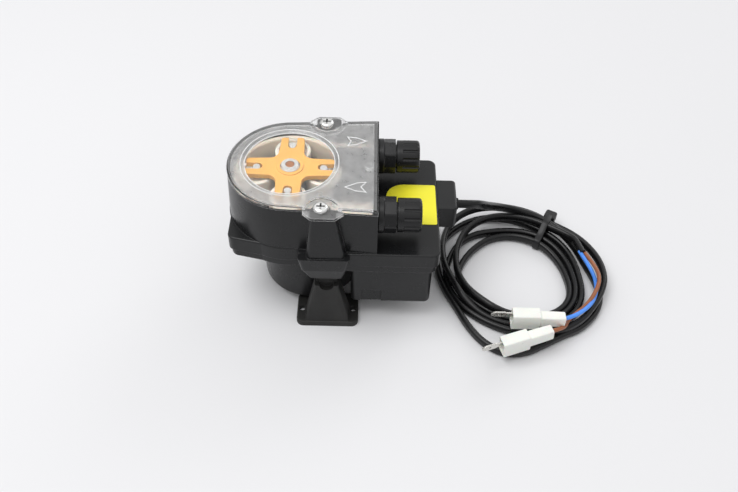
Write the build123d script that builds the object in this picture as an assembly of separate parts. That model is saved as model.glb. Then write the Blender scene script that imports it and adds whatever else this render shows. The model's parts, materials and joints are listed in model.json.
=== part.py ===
from build123d import *
import math
import os

# Peristaltic dosing pump: a D-shaped pump head with a roller rotor and a hose,
# a geared motor in the case below it, two feet and a coiled lead.
# While it is modelled, the rotor axis stands at x = y = 0 and the floor is z = 0.
# At the end everything shifts along X, so that the origin is the middle of the
# pump's footprint.

# Heights of the case, from the floor up
cup_ground_gap = 5.2
cup_depth = 30.8
box_depth = 23.0
tray_depth = 5.0
skirt_depth = 8.7
head_height = 24.1
cover_thickness = 3.2
tray_bottom_z = cup_ground_gap + cup_depth
cup_bottom_z = cup_ground_gap
box_bottom_z = tray_bottom_z - box_depth
split_z = tray_bottom_z + tray_depth
platform_z = split_z + skirt_depth
head_top_z = platform_z + head_height
cover_top_z = head_top_z + cover_thickness

# Walls and clearances
case_wall = 2.2
floor_wall = 2.2
gasket_thickness = 0.8
gasket_width = 1.6
tray_step = 1.0
seat_gap = 0.3
press_gap = 0.02
running_gap = 0.05

# Pump head
track_radius = 28.2
head_wall = 1.8
head_end_x = 42.5
head_end_half_width = 32.5
head_draft = 2.4
end_wall = 2.3
chamber_depth = 20.4
chamber_floor = 3.0
island_half_width = 15.6
island_drop = 1.8
island_gap = 1.0
head_radius = track_radius + head_wall
chamber_floor_z = head_top_z - chamber_depth

# Screw pillars of the cover
screw_x = 16.3
screw_y = 30.2
pillar_x = 17.4
pillar_width = 12.2
pillar_reach = 36.0
pillar_root_width = 18.8
pillar_root_reach = 37.8
pillar_boss_radius = 4.6
pad_width = 24.9
pad_reach = 38.9
pad_skirt_depth = 7.7
pad_drop = 14.7

# Platform
platform_left = 29.7
platform_right = 73.0
platform_half_width = 34.4
platform_round_radius = 31.3
platform_thickness = 2.5
platform_corner = 4.0
ear_half_width = 24.8
shoulder_x = 5.0
edge_round = 0.8

# Lead block on the right end of the front case
block_reach = 9.7
block_low_y = -2.1
block_high_y = 19.2
block_bottom_lift = 0.5
block_round = 2.0
lead_y = 8.5
lead_z = platform_z - 6.7
lead_radius = 2.4
grommet_wall = 1.1
grommet_lip = 0.7
grommet_reach = 1.5

# Rear case
cup_x = 9.0
cup_radius = 25.0
box_left = 30.0
box_right = 70.0
box_half_width = 33.0
box_corner = 3.0
latch_left = 34.9
latch_right = 45.5
latch_height = 9.0
latch_depth = 1.3

# Cover
cover_roof = 2.0
window_radius = 21.5
window_bevel = 1.8
window_depth = 0.7
ear_thickness = 1.4
notch_radius = 7.7
cover_screw_hole = 2.1
rim_chamfer = 0.8
peg_x = 38.0
peg_radius = 2.0
peg_length = 2.0

# Pan-head screws
pan_head_radius = 3.6
pan_head_height = 2.3
cover_screw_length = 15.0
pilot_radius = 1.6

# Hose and rollers
hose_wall = 1.6
hose_outside = 8.6
hose_flat_height = 12.4
fitting_y = 20.8
roller_radius = 8.9
roller_bevel = 0.8
roller_end_gap = 0.3
roller_boss_radius = 3.6
roller_top_boss = 0.8
roller_bottom_boss = 0.4
roller_count = 4
pin_radius = 2.0
roller_reach = track_radius - 2 * hose_wall
pin_circle = roller_reach - roller_radius

# Rotor
star_drop = 0.6
star_thickness = 2.5
star_reach = 21.3
star_tip_half_width = 5.7
star_root_half_width = 6.6
star_web_round = 4.5
star_tip_round = 1.5
slot_clearance = 0.15
slot_depth = 0.65
collar_radius = 6.4
collar_height = 0.5
ring_radius = 4.8
ring_stand = 1.0
ring_length = 3.4
base_gap = 0.8
base_thickness = 2.5
base_radius = 20.5
hub_radius = 6.8
shaft_radius = 3.0
shaft_nose_radius = 2.2
bush_radius = 5.0
bush_boss_radius = 7.5

# Gear train: a pinion drives a double gear, which drives the output gear
module = 0.65
small_teeth = 12
large_teeth = 36
pressure_angle = math.radians(20)
tooth_addendum = 0.8 * module
tooth_dedendum = 1.05 * module
tooth_backlash = 0.08
gear_plate_thickness = 1.2
gear_plate_radius = 26.4
lower_gear_lift = 0.6
lower_gear_width = 3.4
gear_level_gap = 0.6
upper_gear_width = 4.0
gear_pin_radius = 1.0

# Motor
motor_radius = 21.5
motor_wall = 1.5
motor_end_gap = 0.8
motor_lid_thickness = 1.5
motor_shaft_radius = 1.5
motor_bush_radius = 4.0
motor_bush_height = 3.0
magnet_radius = 9.0
magnet_height = 19.0
pole_gap = 0.4
pole_wall = 1.0
pole_count = 8
coil_inner_radius = 11.0
coil_outer_radius = 19.0
coil_height = 23.0

# Hose fittings
fitting_flange_radius = 8.85
fitting_flange_length = 3.2
fitting_hex_length = 5.4
spigot_radius = 6.0
spigot_length = 5.6
wall_spigot_radius = 4.95
barb_length = 9.3
nipple_radius = 2.0
flow_radius = 1.25
nut_radius = 8.15
nut_length = 11.5
nut_gap = 0.6
nut_flute_count = 12
nut_flute_radius = 0.9
nut_wall_end = 3.0
port_radius = 3.2
clamp_ring_length = 2.6
clamp_ring_radius = 5.6
clamp_ring_bore = 3.1

# Feet
foot_x = 18.3
foot_width = 31.5
foot_reach = 39.3
foot_depth = 20.0
foot_plate = 3.0
foot_corner = 3.5
foot_hole_radius = 1.7
foot_hole_offset = 13.1
foot_hole_y = 30.0
column_root_width = 22.4
column_top_width = 11.7
column_front = 36.0
column_back = 27.0
column_height = 28.0
neck_width = 10.5
neck_front = 32.8
foot_screw_y = 30.0
foot_screw_radius = 1.45
foot_screw_head_radius = 2.8
foot_screw_head_height = 2.2
foot_screw_length = 22.0
foot_screw_sink = 18.0

# Case screws, from below
case_screw_points = [(-23.5, 19.5), (-23.5, -19.5), (66.0, 27.0), (66.0, -27.0)]
case_screw_radius = 1.4
case_screw_head_radius = 2.7
case_screw_head_height = 1.8
case_screw_length = 8.6
case_boss_radius = 3.4

# Drive board in the box
board_left = 35.0
board_right = 66.0
board_half_width = 26.0
board_thickness = 1.6
board_lift = 4.0
board_post_radius = 2.6
board_post_inset = 3.6

# Label plate
label_left = 47.0
label_right = 72.0
label_low_y = -13.5
label_high_y = 14.5
label_thickness = 0.25
label_round = 9.0
label_small_round = 1.0

# Lead, wires and connectors
coil_centre = (119.0, -6.0)
coil_half_sizes = (44.0, 52.0)
coil_turn = 11.5
coil_hole_centre = (118.0, -9.0)
coil_hole_half_sizes = (25.3, 28.9)
coil_hole_turn = 40.0
coil_height_on_floor = 10.0
lead_route = [
    (73.5, lead_y, lead_z),
    (94.5, lead_y, lead_z),
    (111.0, 17.5, 31.0),
    (124.0, 27.5, 17.5),
    (138.5, 33.5, 8.0),
]
wire_radius = 1.1
blue_route = [
    (150.8, 11.5, 12.2),
    (155.0, -1.0, 12.2),
    (158.4, -14.0, 11.6),
    (154.5, -27.5, 11.6),
    (147.5, -37.5, 13.2),
    (137.3, -42.6, 14.2),
]
brown_route = [
    (153.2, 12.1, 12.2),
    (158.9, 0.5, 12.2),
    (162.3, -13.0, 11.6),
    (158.0, -28.0, 11.6),
    (149.0, -39.5, 11.8),
    (140.0, -48.5, 12.6),
    (129.5, -52.7, 13.4),
]
sheath_end_start = (147.5, 21.5, 8.5)
sheath_end_stop = (151.6, 12.6, 12.2)
tie_point = (136.5, 24.5)
tie_turn = 63.0
tie_length = 28.4
tie_height = 12.6
tie_width = 3.6
tie_band = 1.2
tie_head = (7.0, 6.0, 5.0)
connector_wide = (14.0, 9.2, 6.0)
connector_narrow = (12.6, 6.6, 5.2)
connector_corner = 0.8
blade_size = (15.5, 6.3, 0.8)
upper_connector = (137.3, -42.6, 14.2)
upper_connector_turn = 180.0
lower_connector = (129.5, -52.7, 13.4)
lower_connector_turn = 201.0

# Derived positions of the rotor stack
star_top_z = head_top_z - star_drop
star_bottom_z = star_top_z - star_thickness
base_bottom_z = chamber_floor_z + base_gap
base_top_z = base_bottom_z + base_thickness
roller_bottom_z = base_top_z + roller_end_gap + roller_bottom_boss
roller_top_z = star_bottom_z - roller_end_gap - roller_top_boss
hose_axis_z = (roller_bottom_z + roller_top_z) / 2
ring_top_z = star_top_z + collar_height + ring_stand

# Derived positions of the drive
tray_floor_z = tray_bottom_z + floor_wall
gear_plate_top_z = tray_floor_z + gear_plate_thickness
lower_gear_z = gear_plate_top_z + lower_gear_lift
upper_gear_z = lower_gear_z + lower_gear_width + gear_level_gap
upper_gear_top_z = upper_gear_z + upper_gear_width
chamber_floor_bottom_z = chamber_floor_z - chamber_floor
small_pitch_radius = module * small_teeth / 2
large_pitch_radius = module * large_teeth / 2
gear_distance = small_pitch_radius + large_pitch_radius
lay_x = cup_x / 2
lay_y = math.sqrt(gear_distance**2 - lay_x**2)
lay_angle = math.degrees(math.atan2(lay_y, lay_x))
motor_angle = math.degrees(math.atan2(-lay_y, cup_x - lay_x))
motor_bottom_z = cup_bottom_z + floor_wall + motor_end_gap
motor_top_z = tray_floor_z
origin_x = (platform_right + block_reach - platform_round_radius) / 2

MIDDLE = (Align.CENTER, Align.CENTER, Align.MIN)
parts = {}


def rod(radius, bottom, top, x=0.0, y=0.0):
    # Upright cylinder between two heights
    return Pos(x, y, bottom) * Cylinder(radius, top - bottom, align=MIDDLE)


def x_rod(radius, start, end, y, z):
    # Cylinder along X between two stations
    return Pos(start, y, z) * Rot(0, 90, 0) * Cylinder(radius, end - start, align=MIDDLE)


def block(low, high):
    # Box between two opposite corners
    size = [b - a for a, b in zip(low, high)]
    return Pos(*low) * Box(*size, align=(Align.MIN, Align.MIN, Align.MIN))


def slab(outline, bottom, top, taper=0.0):
    # Outline pulled up between two heights, drawn in by the taper angle
    return Pos(0, 0, bottom) * extrude(outline, amount=top - bottom, taper=taper)


def both_sides(solid):
    # The solid and its mirror image across the pump's middle plane
    return solid + mirror(solid, about=Plane.XZ)


def head_outline(radius, end_x, end_half_width):
    # Circle with two tangent flanks that run to a straight right end
    reach = math.hypot(end_x, end_half_width)
    angle = math.atan2(end_half_width, end_x) + math.acos(radius / reach)
    x = radius * math.cos(angle)
    y = radius * math.sin(angle)
    flanks = Polygon(
        (x, y), (x, -y), (end_x, -end_half_width), (end_x, end_half_width), align=None
    )
    return Circle(radius) + flanks


def platform_outline(inset=0.0):
    # Round under the head, with a left ear and a wide right part
    left = platform_left - inset
    right = platform_right - inset
    half_width = platform_half_width - inset
    ear = Polygon(
        (-left, ear_half_width - inset),
        (-left, -ear_half_width + inset),
        (0, -platform_round_radius + inset),
        (0, platform_round_radius - inset),
        align=None,
    )
    ear = fillet(ear.vertices().group_by(Axis.X)[0], platform_corner)
    wide_left = shoulder_x + inset
    wide = Pos((wide_left + right) / 2, 0) * Rectangle(right - wide_left, 2 * half_width)
    wide = fillet(wide.vertices().group_by(Axis.X)[-1], platform_corner)
    return Circle(platform_round_radius - inset) + ear + wide


def rounded_slab(width, low_y, high_y, x, z, corner):
    # Flat rounded rectangle at a height, as one section of a tapered column
    return Pos(x, (low_y + high_y) / 2, z) * RectangleRounded(width, high_y - low_y, corner)


def pillar():
    # Tapered screw pillar on the near side of the head
    root = rounded_slab(pillar_root_width, -pillar_root_reach, -screw_y + 9, foot_x, platform_z, 2.5)
    tip = rounded_slab(pillar_width, -pillar_reach, -screw_y + 9, pillar_x, head_top_z, 2.0)
    return loft([root, tip])


def pillar_pad():
    # Flared pad under the pillar, drawn in below the skirt
    inner_y = -platform_half_width + 0.6
    top = rounded_slab(pad_width, -pad_reach, inner_y, pillar_x, platform_z, 2.0)
    middle_z = platform_z - pad_skirt_depth
    middle = rounded_slab(pad_width - 3, -pad_reach + 0.4, inner_y, pillar_x, middle_z, 1.9)
    bottom = rounded_slab(pad_width - 9, -pad_reach + 1.9, inner_y, foot_x, platform_z - pad_drop, 1.4)
    return loft([top, middle], ruled=True) + loft([middle, bottom], ruled=True)


def chamber():
    # Space for the rotor and the two hose legs
    side = head_end_half_width - head_wall
    outline = head_outline(track_radius, head_end_x - end_wall, side)
    space = slab(outline, chamber_floor_z, head_top_z)
    island_top_z = head_top_z - island_drop
    island = block(
        (0, -island_half_width, chamber_floor_z),
        (head_end_x, island_half_width, island_top_z),
    )
    island -= rod(roller_reach + island_gap, chamber_floor_z, island_top_z)
    bosses = both_sides(rod(pillar_boss_radius, chamber_floor_z, head_top_z, screw_x, -screw_y))
    return space - island - bosses


def front_case():
    growth = head_height * math.tan(math.radians(head_draft))
    root = head_outline(head_radius + growth, head_end_x + growth, head_end_half_width + growth)
    head = slab(root, platform_z, head_top_z, head_draft)
    head += both_sides(pillar())
    head -= block((head_end_x, -60, platform_z), (head_end_x + 10, 60, head_top_z))
    rim_z = split_z + gasket_thickness / 2
    skirt = slab(platform_outline(), rim_z, platform_z)
    top_edges = skirt.faces().sort_by(Axis.Z)[-1].edges()
    skirt = fillet(top_edges, edge_round)
    case = head + skirt + both_sides(pillar_pad())
    case += lead_block()
    roof_z = platform_z - platform_thickness
    hollow = slab(platform_outline(case_wall), rim_z - 1, roof_z)
    end_wall_x = platform_right - case_wall - 0.5
    hollow -= block((end_wall_x, block_low_y, rim_z - 1), (platform_right, block_high_y, roof_z))
    gear_space = rod(track_radius - case_wall, roof_z, chamber_floor_bottom_z)
    case -= hollow + gear_space + chamber()
    core_top_z = head_top_z - island_drop - chamber_floor
    core_left = roller_reach + island_gap + case_wall + 1
    core_half_width = island_half_width - 3
    case -= block((core_left, -core_half_width, roof_z), (head_end_x - 3, core_half_width, core_top_z))
    # Boss and bore of the output shaft's bush
    case += rod(bush_boss_radius, upper_gear_top_z + 0.6, chamber_floor_z)
    case -= rod(bush_radius + press_gap, upper_gear_top_z, chamber_floor_z + 1)
    # Seat of the gear pin
    case += rod(2.6, upper_gear_top_z + 0.6, chamber_floor_bottom_z + 0.5, lay_x, lay_y)
    case -= rod(gear_pin_radius + press_gap, upper_gear_top_z, chamber_floor_bottom_z + 1, lay_x, lay_y)
    # Bosses of the case screws
    for x, y in case_screw_points:
        case += rod(case_boss_radius, rim_z, roof_z + 0.5, x, y)
        case -= rod(case_screw_radius - 0.2, rim_z, roof_z, x, y)
    # Pilot holes of the cover screws and holes of the hose fittings
    pilot_z = head_top_z - cover_screw_length
    case -= both_sides(rod(pilot_radius, pilot_z, head_top_z, screw_x, -screw_y))
    hole_start = head_end_x - end_wall - 1
    hole_radius = wall_spigot_radius + press_gap
    fitting_hole = x_rod(hole_radius, hole_start, head_end_x + 1, -fitting_y, hose_axis_z)
    case -= both_sides(fitting_hole)
    return case - lead_bore()


def lead_block():
    low = (platform_right - case_wall, block_low_y, tray_bottom_z + block_bottom_lift)
    high = (platform_right + block_reach, block_high_y, platform_z)
    shape = block((platform_right, low[1], low[2]), high)
    outer = shape.edges().filter_by(Axis.Z).group_by(Axis.X)[-1]
    shape = fillet(outer, block_round)
    top = shape.faces().sort_by(Axis.Z)[-1].edges()
    shape = fillet(top.group_by(Axis.X)[-1], 1.0)
    neck_low = (low[0], low[1], split_z + gasket_thickness / 2)
    neck = block(neck_low, (platform_right, high[1], platform_z - edge_round))
    return shape + neck


def lead_bore():
    # Wide where the grommet sits in the block, narrow through the skirt's wall
    wide = lead_radius + grommet_wall + press_gap
    bore = x_rod(wide, platform_right, platform_right + block_reach, lead_y, lead_z)
    wall_start = platform_right - case_wall - 1
    return bore + x_rod(lead_radius + press_gap, wall_start, platform_right, lead_y, lead_z)


def rear_case():
    rim_z = split_z - gasket_thickness / 2
    tray = slab(platform_outline(tray_step), tray_bottom_z, rim_z)
    bottom_edges = tray.faces().sort_by(Axis.Z)[0].edges()
    tray = fillet(bottom_edges, edge_round)
    cup = rod(cup_radius, cup_bottom_z, tray_floor_z, cup_x)
    cup = fillet(cup.faces().sort_by(Axis.Z)[0].edges(), 2.0)
    box = block((box_left, -box_half_width, box_bottom_z), (box_right, box_half_width, tray_floor_z))
    box = fillet(box.edges().filter_by(Axis.Z), box_corner)
    box = fillet(box.faces().sort_by(Axis.Z)[0].edges(), 1.5)
    case = tray + cup + box
    case -= slab(platform_outline(tray_step + case_wall), tray_floor_z, rim_z)
    case -= rod(cup_radius - case_wall + 0.2, cup_bottom_z + floor_wall, tray_floor_z, cup_x)
    inner = block(
        (box_left + case_wall, -box_half_width + case_wall, box_bottom_z + floor_wall),
        (box_right - case_wall, box_half_width - case_wall, tray_floor_z),
    )
    inner -= rod(cup_radius, box_bottom_z, tray_floor_z, cup_x)
    case -= inner
    # Latch recesses low on both flanks of the box
    latch = block(
        (latch_left, -box_half_width - 1, box_bottom_z - 1),
        (latch_right, -box_half_width + latch_depth, box_bottom_z + latch_height),
    )
    case -= both_sides(latch)
    # Case screw bosses with sunk heads
    for x, y in case_screw_points:
        case += rod(case_boss_radius, tray_bottom_z + 0.5, rim_z, x, y)
        case -= rod(case_screw_radius + 0.2, tray_bottom_z, rim_z, x, y)
        head_top = tray_bottom_z + case_screw_head_height
        case -= rod(case_screw_head_radius + 0.3, tray_bottom_z, head_top, x, y)
    # Bosses of the foot screws
    foot_boss = rod(3.2, tray_bottom_z, rim_z, foot_x, -foot_screw_y)
    case += both_sides(foot_boss)
    case -= both_sides(rod(foot_screw_radius - 0.2, tray_bottom_z, rim_z - 0.5, foot_x, -foot_screw_y))
    # Posts of the drive board
    post_top_z = box_bottom_z + floor_wall + board_lift
    for x, y in board_posts():
        case += rod(board_post_radius, box_bottom_z + 1, post_top_z, x, y)
        case -= rod(1.0, box_bottom_z + floor_wall, post_top_z, x, y)
    return case


def board_posts():
    xs = (board_left + board_post_inset, board_right - board_post_inset)
    ys = (board_half_width - board_post_inset, -board_half_width + board_post_inset)
    return [(x, y) for x in xs for y in ys]


def case_gasket():
    low_z = split_z - gasket_thickness / 2
    high_z = split_z + gasket_thickness / 2
    outer = platform_outline(tray_step + 0.2)
    inner = platform_outline(tray_step + 0.2 + gasket_width)
    return slab(outer, low_z, high_z) - slab(inner, low_z, high_z)


def ear_outline():
    # Ear of the cover over the near screw pillar
    half = pillar_root_width / 2
    points = [
        (pillar_x - half, -screw_y),
        (pillar_x - half, -pillar_reach + 3.4),
        (pillar_x - half + 4, -pillar_reach - 0.2),
        (pillar_x + half - 4, -pillar_reach - 0.2),
        (pillar_x + half, -pillar_reach + 3.4),
        (pillar_x + half, -screw_y),
    ]
    outline = Polygon(*points, align=None)
    return fillet(outline.vertices().group_by(Axis.Y)[:2][0], 1.5)


def clear_cover():
    outline = head_outline(head_radius, head_end_x, head_end_half_width)
    plate = slab(outline, head_top_z, cover_top_z)
    plate = chamfer(plate.faces().sort_by(Axis.Z)[-1].edges(), rim_chamfer)
    seat_z = head_top_z + ear_thickness
    notch = rod(notch_radius, seat_z, cover_top_z, pillar_x - 0.6, -screw_y - 1)
    plate -= both_sides(notch)
    plate += both_sides(slab(ear_outline(), head_top_z, seat_z))
    # Window: a polished round recess with a bevelled edge
    bevel = Cone(window_radius, window_radius + window_bevel, window_depth, align=MIDDLE)
    plate -= Pos(0, 0, cover_top_z - window_depth) * bevel
    # Hollow underside that clears the rotor, kept solid round the screws
    side = head_end_half_width - head_wall
    hollow = slab(
        head_outline(track_radius, head_end_x - end_wall, side), head_top_z, cover_top_z - cover_roof
    )
    hollow -= both_sides(rod(notch_radius + 1.5, head_top_z, cover_top_z, pillar_x - 0.6, -screw_y - 1))
    plate -= hollow
    plate += rod(peg_radius, cover_top_z - cover_roof - peg_length, cover_top_z - cover_roof, peg_x)
    return plate - both_sides(rod(cover_screw_hole, head_top_z, seat_z, screw_x, -screw_y))


def pan_screw(x, y, seat_z, length, radius, head_radius, head_height):
    # Pan-head screw with a cross recess, head up
    head = rod(head_radius, seat_z, seat_z + head_height, x, y)
    head = fillet(head.faces().sort_by(Axis.Z)[-1].edges(), head_height * 0.6)
    arm = head_radius * 1.1
    slot = head_radius * 0.22
    for turn in (0, 90):
        cross = Pos(x, y, seat_z + head_height * 0.5) * Rot(0, 0, turn) * Box(arm, slot, head_height)
        head -= Pos(0, 0, head_height * 0.5) * cross
    shank = rod(radius, seat_z - length, seat_z, x, y)
    return head + chamfer(shank.faces().sort_by(Axis.Z)[0].edges(), radius * 0.5)


def upside_down(solid, z):
    # Turned over about a horizontal line at the given height
    return Pos(0, 0, 2 * z) * mirror(solid, about=Plane.XY)


def cover_screws():
    seat_z = head_top_z + ear_thickness
    length = cover_screw_length - 0.5
    shank = pilot_radius - press_gap
    near = pan_screw(screw_x, -screw_y, seat_z, length, shank, pan_head_radius, pan_head_height)
    return [near, mirror(near, about=Plane.XZ)]


def case_screws():
    screws = []
    seat_z = tray_bottom_z + case_screw_head_height
    for x, y in case_screw_points:
        up = pan_screw(
            x, y, seat_z, case_screw_length - 0.5, case_screw_radius - 0.2 - press_gap,
            case_screw_head_radius, case_screw_head_height - 0.1,
        )
        screws.append(upside_down(up, seat_z))
    return screws


def star_outline():
    outline = None
    for turn in range(4):
        arm = Polygon(
            (0, -star_root_half_width),
            (star_reach, -star_tip_half_width),
            (star_reach, star_tip_half_width),
            (0, star_root_half_width),
            align=None,
        )
        arm = fillet(arm.vertices().group_by(Axis.X)[-1], star_tip_round)
        arm = Rot(0, 0, 90 * turn) * arm
        outline = arm if outline is None else outline + arm
    corners = [v for v in outline.vertices() if math.hypot(v.X, v.Y) < pin_circle * 0.7]
    return fillet(corners, star_web_round)


def pin_slots(bottom, top):
    # Open slots in the arm tips that hold the roller pins
    half_width = pin_radius + slot_clearance
    end_x = pin_circle - slot_depth
    one = rod(half_width, bottom, top, end_x)
    one += block((end_x, -half_width, bottom), (star_reach + 1, half_width, top))
    return [Rot(0, 0, 90 * turn) * one for turn in range(roller_count)]


def rotor_star():
    star = slab(star_outline(), star_bottom_z, star_top_z)
    star = fillet(star.faces().sort_by(Axis.Z)[-1].edges(), 0.3)
    star += rod(collar_radius, star_top_z, star_top_z + collar_height)
    for slot in pin_slots(star_bottom_z - 1, star_top_z + 1):
        star -= slot
    return star - rod(ring_radius + press_gap, star_bottom_z, ring_top_z)


def shaft_ring():
    ring = rod(ring_radius, ring_top_z - ring_length, ring_top_z)
    ring = chamfer(ring.faces().sort_by(Axis.Z)[-1].edges(), 0.7)
    return ring - rod(shaft_nose_radius + press_gap, ring_top_z - ring_length, ring_top_z)


def output_shaft():
    shoulder_z = ring_top_z - ring_length
    shaft = rod(shaft_radius, upper_gear_z - 0.2, shoulder_z)
    nose = rod(shaft_nose_radius, shoulder_z, ring_top_z - 0.1)
    nose = fillet(nose.faces().sort_by(Axis.Z)[-1].edges(), 0.5)
    return shaft + nose


def rotor_base():
    plate = rod(base_radius, base_bottom_z, base_top_z)
    plate = chamfer(plate.edges(), 0.4)
    plate += rod(hub_radius, base_top_z, star_bottom_z)
    plate -= rod(shaft_radius + press_gap, base_bottom_z, star_bottom_z)
    for place in PolarLocations(pin_circle, roller_count):
        plate -= place * rod(pin_radius + press_gap, base_bottom_z, base_top_z)
    for place in PolarLocations(pin_circle * 0.85, roller_count, start_angle=45):
        plate -= place * rod(3.2, base_bottom_z, base_top_z)
    return plate


def roller_pins():
    pin = rod(pin_radius, base_bottom_z + 0.2, star_top_z - 0.3)
    pin = chamfer(pin.edges(), 0.3)
    return [place * pin for place in PolarLocations(pin_circle, roller_count)]


def roller(turn):
    barrel = rod(roller_radius, roller_bottom_z, roller_top_z)
    barrel = fillet(barrel.edges(), roller_bevel)
    for low, high in ((roller_bottom_z, roller_bottom_z + 1.2), (roller_top_z - 1.2, roller_top_z)):
        barrel -= rod(roller_radius - 1.8, low, high) - rod(roller_boss_radius, low, high)
    barrel += rod(roller_boss_radius, roller_bottom_z - roller_bottom_boss, roller_top_z + roller_top_boss)
    barrel -= rod(pin_radius + running_gap, base_top_z, star_bottom_z)
    return Rot(0, 0, turn) * Pos(pin_circle, 0, 0) * barrel


def pump_hose():
    # The hose lies flat against the track and turns round towards each fitting
    flat = 2 * hose_wall - seat_gap - 0.2
    middle_radius = roller_reach + seat_gap + flat / 2
    leave_angle = math.degrees(math.acos(0.49))
    section = Pos(middle_radius, hose_axis_z) * SlotOverall(hose_flat_height, flat, rotation=90)
    wrap = Rot(0, 0, leave_angle) * revolve(Plane.XZ * section, Axis.Z, 360 - 2 * leave_angle)
    # The legs bend back from the track to the line of the fittings
    start_x = middle_radius * math.cos(math.radians(leave_angle))
    start_y = middle_radius * math.sin(math.radians(leave_angle))
    turn = 90 - leave_angle
    bend_radius = (start_y - fitting_y) / (1 - math.cos(math.radians(turn)))
    bend_x = start_x + bend_radius * math.sin(math.radians(turn))
    sections = []
    end_thick = hose_outside - 0.5
    stations = (
        (0.0, flat, hose_flat_height),
        (0.4, flat + 0.7, 11.9),
        (0.75, flat + 3.2, 10.4),
        (1.0, end_thick, end_thick + 0.1),
    )
    for share, thick, tall in stations:
        angle = math.radians(turn * (1 - share))
        x = bend_x - bend_radius * math.sin(angle)
        y = fitting_y + bend_radius * (1 - math.cos(angle))
        heading = Vector(math.cos(angle), -math.sin(angle), 0)
        plane = Plane(origin=(x, y, hose_axis_z), x_dir=(0, 0, 1), z_dir=heading)
        sections.append(plane * SlotOverall(tall, thick))
    leg = loft(sections)
    end_x = head_end_x - end_wall - 0.1
    leg += x_rod(hose_outside / 2, bend_x - 0.1, end_x, fitting_y, hose_axis_z)
    leg -= x_rod(hose_outside / 2 - hose_wall, end_x - barb_length - 0.5, end_x, fitting_y, hose_axis_z)
    return wrap + both_sides(leg)


def hose_fitting(side):
    flange_end = head_end_x + fitting_flange_length
    hex_end = flange_end + fitting_hex_length
    spigot_end = hex_end + spigot_length
    y = side * fitting_y
    z = hose_axis_z
    body = x_rod(fitting_flange_radius, head_end_x, flange_end, y, z)
    body = chamfer(body.edges(), 0.5)
    hex_profile = RegularPolygon(fitting_flange_radius, 8) & Circle(fitting_flange_radius - 0.15)
    body += Pos(flange_end, y, z) * Rot(0, 90, 0) * extrude(hex_profile, amount=fitting_hex_length)
    body += x_rod(spigot_radius, hex_end, spigot_end, y, z)
    nipple_end = spigot_end + 3.0
    nipple = x_rod(nipple_radius, spigot_end, nipple_end, y, z)
    body += chamfer(nipple.faces().sort_by(Axis.X)[-1].edges(), 0.5)
    body += x_rod(wall_spigot_radius, head_end_x - end_wall, head_end_x, y, z)
    barb_end = head_end_x - end_wall - barb_length
    body += x_rod(hose_outside / 2 - hose_wall - press_gap, barb_end, head_end_x - end_wall, y, z)
    return body - x_rod(flow_radius, barb_end, nipple_end, y, z)


def nut_start():
    return head_end_x + fitting_flange_length + fitting_hex_length + nut_gap


def hose_nut(side):
    start = nut_start()
    end = start + nut_length
    y = side * fitting_y
    z = hose_axis_z
    nut = x_rod(nut_radius, start, end, y, z)
    nut = fillet(nut.faces().sort_by(Axis.X)[-1].edges(), 1.6)
    nut = fillet(nut.faces().sort_by(Axis.X)[0].edges(), 0.4)
    for place in PolarLocations(nut_radius + 0.3, nut_flute_count):
        groove = Cylinder(nut_flute_radius, nut_length - 2.4, align=MIDDLE)
        nut -= Pos(start + 3.0, y, z) * Rot(0, 90, 0) * place * groove
    nut -= x_rod(spigot_radius + running_gap, start, end - nut_wall_end, y, z)
    return nut - x_rod(port_radius, end - nut_wall_end, end, y, z)


def clamp_ring(side):
    end = nut_start() + nut_length - nut_wall_end - 0.1
    y = side * fitting_y
    ring = x_rod(clamp_ring_radius, end - clamp_ring_length, end, y, hose_axis_z)
    ring = chamfer(ring.faces().sort_by(Axis.X)[0].edges(), 0.6)
    return ring - x_rod(clamp_ring_bore, end - clamp_ring_length, end, y, hose_axis_z)


def involute(angle):
    return math.tan(angle) - angle


def spur_gear(teeth, width):
    # Involute teeth, each flank drawn with four points; first tooth on +X
    pitch = module * teeth / 2
    base = pitch * math.cos(pressure_angle)
    tip = pitch + tooth_addendum
    root = pitch - tooth_dedendum
    half_tooth = (math.pi * module / 2 - tooth_backlash) / (2 * pitch)
    start = max(base, root)
    radii = [start + (tip - start) * share for share in (0.0, 0.4, 0.7, 1.0)]
    flank = []
    for radius in radii:
        angle = half_tooth + involute(pressure_angle) - involute(math.acos(min(1.0, base / radius)))
        flank.append((radius, angle))
    if root < base:
        flank.insert(0, (root, flank[0][1]))
    points = []
    for tooth in range(teeth):
        middle = 2 * math.pi * tooth / teeth
        for radius, angle in flank:
            points.append((radius * math.cos(middle - angle), radius * math.sin(middle - angle)))
        for radius, angle in reversed(flank):
            points.append((radius * math.cos(middle + angle), radius * math.sin(middle + angle)))
    return extrude(Polygon(*points, align=None), amount=width)


def mating_turn(turn, teeth, heading, other_teeth):
    # Turn of a gear whose tooth gap meets the tooth of its neighbour
    share = (heading - turn) / (360 / teeth)
    return heading + 180 - (360 / other_teeth) * (0.5 - share)


def output_gear():
    gear = spur_gear(large_teeth, upper_gear_width)
    gear -= rod(shaft_radius + press_gap, 0, upper_gear_width)
    for place in PolarLocations(large_pitch_radius * 0.6, 6):
        gear -= place * rod(1.6, 0, upper_gear_width)
    return Pos(0, 0, upper_gear_z) * gear


def reduction_gear():
    lower = spur_gear(large_teeth, lower_gear_width)
    upper_length = upper_gear_top_z - lower_gear_z - lower_gear_width
    turn = mating_turn(0, large_teeth, lay_angle, small_teeth)
    upper = Rot(0, 0, turn) * spur_gear(small_teeth, upper_length)
    gear = lower + Pos(0, 0, lower_gear_width) * upper
    gear -= rod(gear_pin_radius + running_gap, 0, lower_gear_width + upper_length)
    return Pos(lay_x, lay_y, lower_gear_z) * gear


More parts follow.
